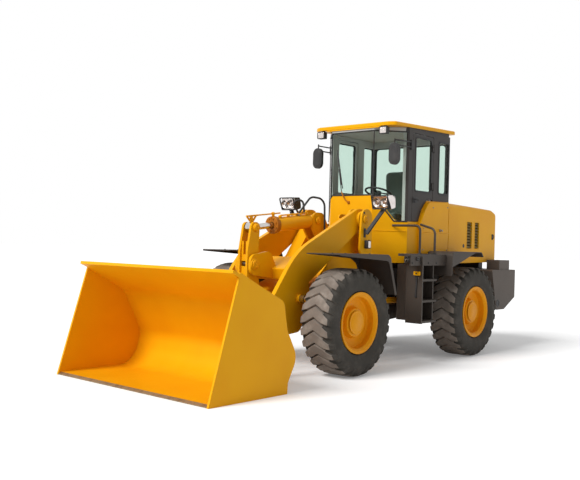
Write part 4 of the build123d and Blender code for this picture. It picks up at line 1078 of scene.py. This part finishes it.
def makeHeadlampInsides():
    low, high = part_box("headlamp_lenses")
    for side, sign in (("left", 1), ("right", -1)):
        lamp = Build()
        lean = math.atan2(lampFace["lean"], lampFace["height"])
        along = Vector((math.cos(lean), 0, -math.sin(lean)))
        middleZ = (low.z + high.z) / 2
        faceX = low.x + lampFace["inset"]
        for y, r in lampFace["bowls"]:
            centre = Vector((faceX, sign * y, middleZ))
            bowl = [
                (0.020, r), (0.019, r - 0.004), (0.006, r * 0.62), (0.001, r * 0.3), (0.008, 0.012),
                (0.018, 0.009), (0.019, 0),
            ]
            lamp.ring(bowl, centre, 32, along, False)
        plate = roundedOutline([
            (sign * 0.672, -0.080, 0.012), (sign * 0.895, -0.080, 0.03), (sign * 0.905, 0.075, 0.03),
            (sign * 0.672, 0.075, 0.012),
        ])
        lamp.prism(
            plate, lambda u, v, w: Vector((faceX + math.cos(lean) * w + math.tan(lean) * v, u, middleZ + v)),
            0.000, 0.004,
        )
        lamp.done(side + "HeadlampReflector", "reflector", "front_frame")
        surround = Build()
        rim = roundedOutline([
            (sign * 0.668, -0.088, 0.015), (sign * 0.905, -0.088, 0.03), (sign * 0.925, 0.085, 0.03),
            (sign * 0.668, 0.085, 0.015),
        ])
        surround.strip(
            rim, -0.007, 0.003, lambda u, v, w: Vector((faceX + w + math.tan(lean) * v, u, middleZ + v)), 0.018,
            0.036,
        )
        surround.done(side + "HeadlampRim", "plastic", "front_frame")


def makeSmallLamps():
    clear = Build()
    holders = Build()
    for sign in (1, -1):
        face = roundedPlate(sign * 0.482, 3.072, sign * 0.588, 3.158, 0.01)
        clear.prism(face, onFront(0.199), 0.0, 0.010, 0.004)
        holders.strip(face, 0.0, 0.008, onFront(0.197), 0.0, 0.016)
        for k in range(5):
            y = sign * (0.495 + 0.020 * k)
            clear.box(spot(0.207, y - 0.003, 3.082), spot(0.2115, y + 0.003, 3.148), 0.001)
    clear.done("roofLampLenses", "reflector")
    holders.done("roofLampRims", "plastic")

    boxes = Build()
    glow = Build()
    for sign in (1, -1):
        boxes.box(spot(0.535, sign * 0.562, 1.515), spot(0.60, sign * 0.622, 1.625), 0.008)
        face = roundedPlate(0.545, 1.525, 0.592, 1.615, 0.008)
        glow.prism(face, onSide(sign, 0.62), 0.0, 0.006, 0.002)
    boxes.done("towerLampBoxes", "plastic", "front_frame")
    glow.done("towerLampLenses", "reflector", "front_frame")

    orange = Build()
    red = Build()
    white = Build()
    mounts = Build()
    for sign in (1, -1):
        nose = spot(0.262, sign * 1.006, 1.392)
        mounts.ring(
            [(0, 0.030), (0.012, 0.036), (0.018, 0.036), (0.018, 0.030), (0.012, 0.030)], nose, 28, (1, 0, 0),
        )
        white.ring(
            [(0.012, 0.030), (0.022, 0.029), (0.030, 0.022), (0.033, 0.010), (0.034, 0)], nose, 28, (1, 0, 0),
            False,
        )
        face = roundedPlate(0.02, 1.375, 0.12, 1.42, 0.012)
        orange.prism(face, onSide(sign, walkwayEdge), 0.0, 0.010, 0.004)
        for y, lamp in ((0.825, red), (0.880, red), (0.940, orange)):
            lamp.ring(
                [(0.0, 0.028), (0.010, 0.026), (0.017, 0.018), (0.019, 0)], spot(-2.74, sign * y, 1.31), 26,
                (-1, 0, 0), False,
            )
            mounts.ring(
                [(0, 0.028), (0.008, 0.032), (0.0, 0.034)], spot(-2.74, sign * y, 1.31), 26, (-1, 0, 0), False,
            )
    white.done("sideLamps", "lens")
    orange.done("turnLamps", "orange")
    red.done("tailLamps", "red")
    mounts.done("lampMounts", "plastic")


def makeMirrorGlass():
    glass = Build()
    for sign in (1, -1):
        face = roundedPlate(sign * 0.588, 2.66, sign * 0.732, 2.94, 0.066, 8)
        glass.prism(face, onFront(0.078, -1), 0.0, 0.003)
    glass.done("mirrorGlass", "reflector", "rear_frame")
    backs = Build()
    for sign in (1, -1):
        for inset, w in ((-0.020, 0.004), (-0.036, 0.007)):
            face = roundedPlate(sign * 0.582, 2.655, sign * 0.738, 2.945, 0.072, 8)
            backs.prism(offsetOutline(face, inset), onFront(0.122), 0.0, w, 0.003)
    backs.done("mirrorBacks", "plastic")


makeHeadlampInsides()
makeSmallLamps()
makeMirrorGlass()
print("lamps made")


# hood, walkways, counterweight
hoodTrim = {
    "half": 0.74, "slots": ((-1.945, -1.795), (-2.17, -2.04)), "slotLow": 1.555, "slotHigh": 1.955, "slats": 9,
    # section of a slat: distance from the hood's side, height from its middle
    "slat": ((-0.024, 0.016), (-0.021, 0.019), (-0.002, -0.012), (-0.005, -0.015)),
}


def makeHoodTrim():
    half, slotLow, slotHigh = (hoodTrim[k] for k in ("half", "slotLow", "slotHigh"))
    pitch = (slotHigh - slotLow) / hoodTrim["slats"]
    slats = Build()
    for low, high in hoodTrim["slots"]:
        for sign in (1, -1):
            for k in range(hoodTrim["slats"]):
                z = slotLow + (k + 0.5) * pitch
                face = [Vector((y, z + rise)) for y, rise in hoodTrim["slat"]]
                slats.prism(face, lambda u, v, w: spot(w, sign * (half + u), v), low + 0.002, high - 0.002)
    slats.done("hoodLouvres", "olive", "engine_hood")
    trim = Build()
    for sign in (1, -1):
        for low, high in hoodTrim["slots"]:
            face = roundedPlate(low, slotLow, high, slotHigh, 0.012)
            trim.strip(face, 0.0, 0.010, onSide(sign, half), -0.001, 0.003)
    trim.done("hoodPressings", "yellow", "engine_hood")
    dark = Build()
    for sign in (1, -1):
        dark.ring(
            [(0.0005, 0.0), (0.0005, 0.020), (0.003, 0.024), (0.0, 0.028)], spot(-1.70, sign * half, 1.59), 24,
            (0, sign, 0), False,
        )
        plate = roundedPlate(-2.60, 1.70, -2.645, 1.79, 0.012)
        dark.prism(plate, onSide(sign, half), 0.0, 0.008, 0.003)
        dark.tube(
            [
                spot(-2.622, sign * 0.748, 1.715), spot(-2.622, sign * 0.768, 1.735),
                spot(-2.622, sign * 0.768, 1.765), spot(-2.622, sign * 0.748, 1.78),
            ],
            0.006, 8,
        )
    dark.done("hoodLatches", "plastic", "engine_hood")
    knobs = Build()
    for sign in (1, -1):
        knob = [
            (0, 0.020), (0.010, 0.020), (0.014, 0.016), (0.014, 0.010), (0.030, 0.010), (0.036, 0.016),
            (0.044, 0.014), (0.046, 0),
        ]
        knobs.ring(knob, spot(-1.0, sign * half, 1.80), 24, (0, sign, 0), False)
        for x, z in ((-1.20, 1.52), (-0.86, 1.52), (-0.54, 1.52), (-1.20, 2.14), (-0.80, 2.12), (-0.56, 1.82)):
            knobs.nut(spot(x, sign * half, z), 0.011, 0.007, (0, sign, 0))
    knobs.done("sideBoxFasteners", "pin")


def makeSideCreases():
    crease = Build()
    for sign in (1, -1):
        crease.tube([spot(x, sign * 0.7405, 1.765) for x in (-0.50, -0.80, -1.24)], 0.006, 8)
        crease.tube([spot(quarterX(y) + 0.0005, sign * y, 1.765) for y in (0.37, 0.5, 0.68)], 0.006, 8)
    crease.done("sideCreases", "yellow")
    marker = Build()
    stay = Build()
    for sign in (1, -1):
        marker.box(spot(-0.009, sign * 1.005 - 0.045, 1.180), spot(0.030, sign * 1.005 + 0.045, 1.232), 0.006)
        stay.tube([spot(0.002, sign * 1.0, 1.182), spot(0.002, sign * 0.985, 0.90)], 0.010, 10)
        stay.ring(
            [(0, 0.016), (0.012, 0.016), (0.016, 0.012), (0.016, 0)], spot(-0.009, sign * 0.984, 0.90), 16,
            (1, 0, 0), False,
        )
        stay.nut(spot(0.030, sign * 1.005, 1.206), 0.012, 0.008, (1, 0, 0))
    marker.done("stepMarkers", "yellow")
    stay.done("stepStays", "plastic")


def makeGrilleTrim():
    trim = Build()
    low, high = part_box("rear_grille")
    face = roundedPlate(-0.60, low.z + 0.045, 0.60, high.z - 0.045, 0.02)
    trim.strip(face, 0.0, 0.012, lambda u, v, w: Vector((low.x - w, u, v)), 0.0, 0.006)
    trim.tube(
        roundedRun(
            [
                (low.x, -0.66, 1.66), (low.x - 0.035, -0.66, 1.67), (low.x - 0.035, -0.66, 1.80),
                (low.x, -0.66, 1.81),
            ],
            0.015,
        ),
        0.008, 10,
    )
    trim.done("grilleTrim", "plastic", "rear_grille")


walkway = {
    "deck": 1.46, "edge": walkwayEdge, "tankFace": 0.8247, "treads": (0.573, 0.848, 1.128), "lock": 35,
    # what the front frame sweeps at full lock, as (further ahead than, nearer than)
    "swept": ((0.42, 0.585), (0.60, 0.66)),
}


def makeWalkwayTrim():
    # studs keep off the part that is cut back for the turning front frame
    lock, deck, tankFace = math.radians(walkway["lock"]), walkway["deck"], walkway["tankFace"]
    lockCos, lockSin = math.cos(lock), math.sin(lock)
    studs = Build()
    for sign in (1, -1):
        for i in range(20):
            for j in range(8):
                x = -0.62 + i * 0.045
                y = 0.735 + j * 0.042 + (0.021 if i % 2 else 0)
                ahead, aside = x * lockCos + y * lockSin, y * lockCos - x * lockSin
                turning = any(ahead > a and aside < b for a, b in walkway["swept"])
                if turning or y > 1.03 or math.hypot(x, y) < 0.745 or quarterX(y) > x and y < 0.69:
                    continue
                studs.ring(
                    [(0, 0.012), (0.003, 0.010), (0.003, 0)], spot(x, sign * y, deck), 6, (0, 0, 1), False,
                )
        for z in walkway["treads"]:
            for k in range(9):
                for y in (0.92, 1.01):
                    place = spot(-0.385 + k * 0.045, sign * y, z)
                    studs.ring([(0, 0.014), (0.004, 0.010), (0.004, 0)], place, 6, (0, 0, 1), False)
    studs.done("antiSlipStuds", "dark")
    feet = Build()
    for sign in (1, -1):
        for x in (-0.05, -0.43):
            feet.ring(
                [(0, 0.036), (0.007, 0.034), (0.007, 0.018), (0.016, 0.0175), (0.016, 0.0155), (0, 0.0155)],
                spot(x, sign * 1.0, deck), 28, (0, 0, 1),
            )
            for k in range(3):
                a = 2.1 * k + 0.5
                feet.nut(
                    spot(x + 0.026 * math.cos(a), sign * 1.0 + 0.026 * math.sin(a), 1.467), 0.006, 0.005,
                    (0, 0, 1),
                )
        for x in (-0.60, -0.40, -0.2, 0.0, 0.2):
            feet.nut(spot(x, sign * walkway["edge"], 1.345), 0.011, 0.008, (0, sign, 0))
        for x, z in ((-0.18, 1.22), (-0.58, 1.22), (-0.18, 0.70), (-0.58, 0.70)):
            feet.nut(spot(x, sign * tankFace, z), 0.012, 0.008, (0, sign, 0))
    feet.done("walkwayFasteners", "plastic")
    filler = Build()
    for sign in (1, -1):
        tankCap = [
            (0, 0.060), (0.02, 0.060), (0.026, 0.054), (0.026, 0.046), (0.034, 0.044), (0.038, 0.036),
            (0.038, 0),
        ]
        filler.ring(tankCap, spot(-0.40, sign * tankFace, 1.10), 32, (0, sign, 0), False)
    filler.done("tankCaps", "plastic")


def makeCounterweightTrim():
    trim = Build()
    for sign in (1, -1):
        trim.ring(
            [(0.0006, 0), (0.0006, 0.044), (0.004, 0.050), (0.0, 0.058)], spot(-2.35, sign * 1.0, 0.72), 32,
            (0, sign, 0), False,
        )
        for z in (0.95, 1.15):
            trim.nut(spot(-2.86, sign * 0.62, z) + Vector((-0.065, 0, 0)), 0.022, 0.014, (-1, 0, 0))
    trim.done("weightFasteners", "plastic")
    marks = Build()
    for sign in (1, -1):
        face = roundedPlate(sign * 0.80, 1.13, sign * 0.95, 1.18, 0.006)
        marks.prism(face, onFront(-2.925, -1), 0.0, 0.006, 0.003)
    marks.done("rearReflectors", "red")


makeHoodTrim()
makeSideCreases()
makeGrilleTrim()
makeWalkwayTrim()
makeCounterweightTrim()
print("hood, walkway and counterweight details made")


# pins, cylinders, arms and bucket
# Pin ends. Columns: name, body, x, y of the cap's seat, z, cap radius.
pinEnds = (
    ("armPivot", "front_frame", 0.585, 0.570, 1.900, 0.058),
    ("liftBase", "front_frame", 0.400, 0.610, 0.850, 0.044),
    ("liftEye", "lift_rods", 1.790, 0.606, 0.900, 0.044),
    ("bucketPivot", "bucket", 2.640, 0.535, 0.245, 0.056),
    ("rockerPivot", "lift_arms", 2.200, 0.144, 1.300, 0.054),
    ("rockerTop", "rocker", 2.150, 0.102, 1.735, 0.046),
    ("rockerFoot", "rocker", 2.080, 0.098, 0.836, 0.046),
    ("linkEye", "bucket", 2.697, 0.078, 0.575, 0.050),
    ("tiltPivot", "front_frame", 0.985, 0.096, 1.865, 0.050),
)


def makePinEnds():
    for name, body, x, y, z, radius in pinEnds:
        caps = Build()
        for sign in (1, -1):
            caps.cap(spot(x, sign * y, z), radius, (0, sign, 0))
        caps.done(name + "Caps", "cylinder", body)


def cylinderLine(foot, eye):
    # direction, length, and places as (along, above, aside) from a cylinder's foot
    along = (eye - foot).normalized()
    up = Vector((-along.z, 0, along.x))

    def at(s, above=0.0, aside=0.0):
        return foot + along * s + up * above + Vector((0, aside, 0))
    return along, up, (eye - foot).length, at


tiltTrim = {
    "mouth": 0.375, "boltCircle": 0.084, "bolts": 8, "pipe": (0.16, 0.68), "pipeAbove": 0.112,
    "pipeAside": 0.035,
}
liftTrim = {"mouth": 0.140, "pipe": (0.12, 1.18), "pipeAbove": 0.075, "aside": 0.560}


def pipeRun(at, trim, seat, aside):
    # a steel pipe that rises from its seat, runs along the tube and comes down again
    first, last = trim["pipe"]
    above = trim["pipeAbove"]
    return [at(first, seat, aside), at(first, above, aside), at(last, above, aside), at(last, seat, aside)]


def makeTiltTrim():
    # gland with its bolts, and a steel pipe along the tube
    along, up, length, at = cylinderLine(tiltFoot, tiltEye)
    mouth = length - tiltTrim["mouth"]
    gland = Build()
    gland.ring(
        [(-0.058, 0.1065), (-0.055, 0.1085), (0.004, 0.1085), (0.008, 0.104), (0.008, 0.044), (0.0, 0.042)],
        at(mouth), 48, along, False,
    )
    for k in range(tiltTrim["bolts"]):
        a = 2 * math.pi * (k + 0.5) / tiltTrim["bolts"]
        reach = tiltTrim["boltCircle"]
        gland.nut(at(mouth + 0.008, reach * math.cos(a), reach * math.sin(a)), 0.011, 0.012, along)
    gland.done("tiltGland", "rust", "tilt_barrel")
    aside = tiltTrim["pipeAside"]
    pipe = Build()
    pipe.tube(roundedRun(pipeRun(at, tiltTrim, 0.09, aside), 0.02), 0.010, 10)
    for s in (0.30, 0.52):
        place = at(s, 0.102, aside)
        pipe.box(place - Vector((0.014, 0.018, 0.012)), place + Vector((0.014, 0.018, 0.014)), 0.003)
    for s in tiltTrim["pipe"]:
        pipe.ring([(0, 0.022), (0.018, 0.022), (0.024, 0.016), (0.024, 0)], at(s, 0.088, aside), 16, up, False)
    pipe.done("tiltPipe", "cylinder", "tilt_barrel")


def makeLiftTrim():
    along, _, length, at = cylinderLine(liftFoot, liftEye)
    glands = Build()
    pipes = Build()
    for sign in (1, -1):
        aside = sign * liftTrim["aside"]
        glands.ring(
            [(-0.048, 0.0725), (-0.045, 0.0745), (0.003, 0.0745), (0.006, 0.071), (0.006, 0.034), (0.0, 0.032)],
            at(length - liftTrim["mouth"], 0, aside), 40, along, False,
        )
        pipes.tube(roundedRun(pipeRun(at, liftTrim, 0.056, aside), 0.015), 0.008, 10)
    glands.done("liftGlands", "rust", "lift_barrels")
    pipes.done("liftPipes", "cylinder", "lift_barrels")


def makeLevelBracket():
    # two flat struts that carry the front end of the level bar
    *_, length, at = cylinderLine(tiltFoot, tiltEye)
    foot = length - 0.014
    strut = Build()
    for side in (1, -1):
        for lean in (0.075, -0.085):
            strut.tube([at(foot, 0.055, side * 0.014), at(foot + lean, 0.136, side * 0.006)], 0.007, 8)
    strut.tube([at(length + 0.070, 0.140), at(length - 0.13, 0.140)], 0.0105, 12)
    strut.done("levelBracket", "cylinder", "tilt_rod")


def makeHoseEnds():
    ends = Build()
    for x, y, z, lean in ((1.330, 0.030, 1.912, 0.8), (1.130, -0.025, 1.929, -0.1)):
        ends.ring(
            [(0, 0.026), (0.012, 0.026), (0.016, 0.022), (0.016, 0.018), (0.036, 0.018), (0.038, 0.015)],
            spot(x, y, z), 16, (-0.11 - lean, 0, 1), False,
        )
    ends.done("hoseFittings", "pin", "tilt_barrel")


def makeBucketWelds():
    welds = Build()
    for y in (-0.900, -0.420, 0.0, 0.420, 0.900):
        for sign in (1, -1):
            welds.tube(
                beadLine(spot(3.17, y + sign * 0.009, 1.008), spot(3.43, y + sign * 0.009, 1.142)), 0.005, 6,
                0.25,
            )
    for sign in (1, -1):
        inner = 1.2285
        run = [(2.935, 0.030), (3.40, 0.029), (3.90, 0.029)]
        for (x0, z0), (x1, z1) in zip(run, run[1:]):
            welds.tube(
                beadLine(spot(x0, sign * (inner - 0.003), z0), spot(x1, sign * (inner - 0.003), z1), 0.009),
                0.006, 6, 0.25,
            )
    welds.done("bucketWelds", "yellow", "bucket")
    armWelds = Build()
    for sign in (1, -1):
        for (x0, z0), (x1, z1) in (((1.565, 1.402), (1.895, 1.254)), ((1.645, 1.093), (1.858, 1.113))):
            armWelds.tube(beadLine(spot(x0, sign * 0.417, z0), spot(x1, sign * 0.417, z1)), 0.006, 6, 0.25)
    armWelds.done("armWelds", "yellow", "lift_arms")


def makeFrontFrameTrim():
    trim = Build()
    for sign in (1, -1):
        for x, z in ((0.50, 1.62), (0.62, 1.98)):
            trim.nut(spot(x, sign * 0.560, z), 0.014, 0.009, (0, sign, 0))
        for x in (0.95, 1.20, 1.45, 1.70):
            trim.nut(spot(x, sign * 0.90, 1.452), 0.012, 0.008, (0, 0, 1))
        trim.box(spot(0.58, sign * 0.560, 1.66), spot(0.62, sign * 0.572, 1.78), 0.004)
    trim.done("frontFrameFasteners", "plastic", "front_frame")


makePinEnds()
makeTiltTrim()
makeLiftTrim()
makeLevelBracket()
makeHoseEnds()
makeBucketWelds()
makeFrontFrameTrim()
print("arm, cylinder and bucket details made")
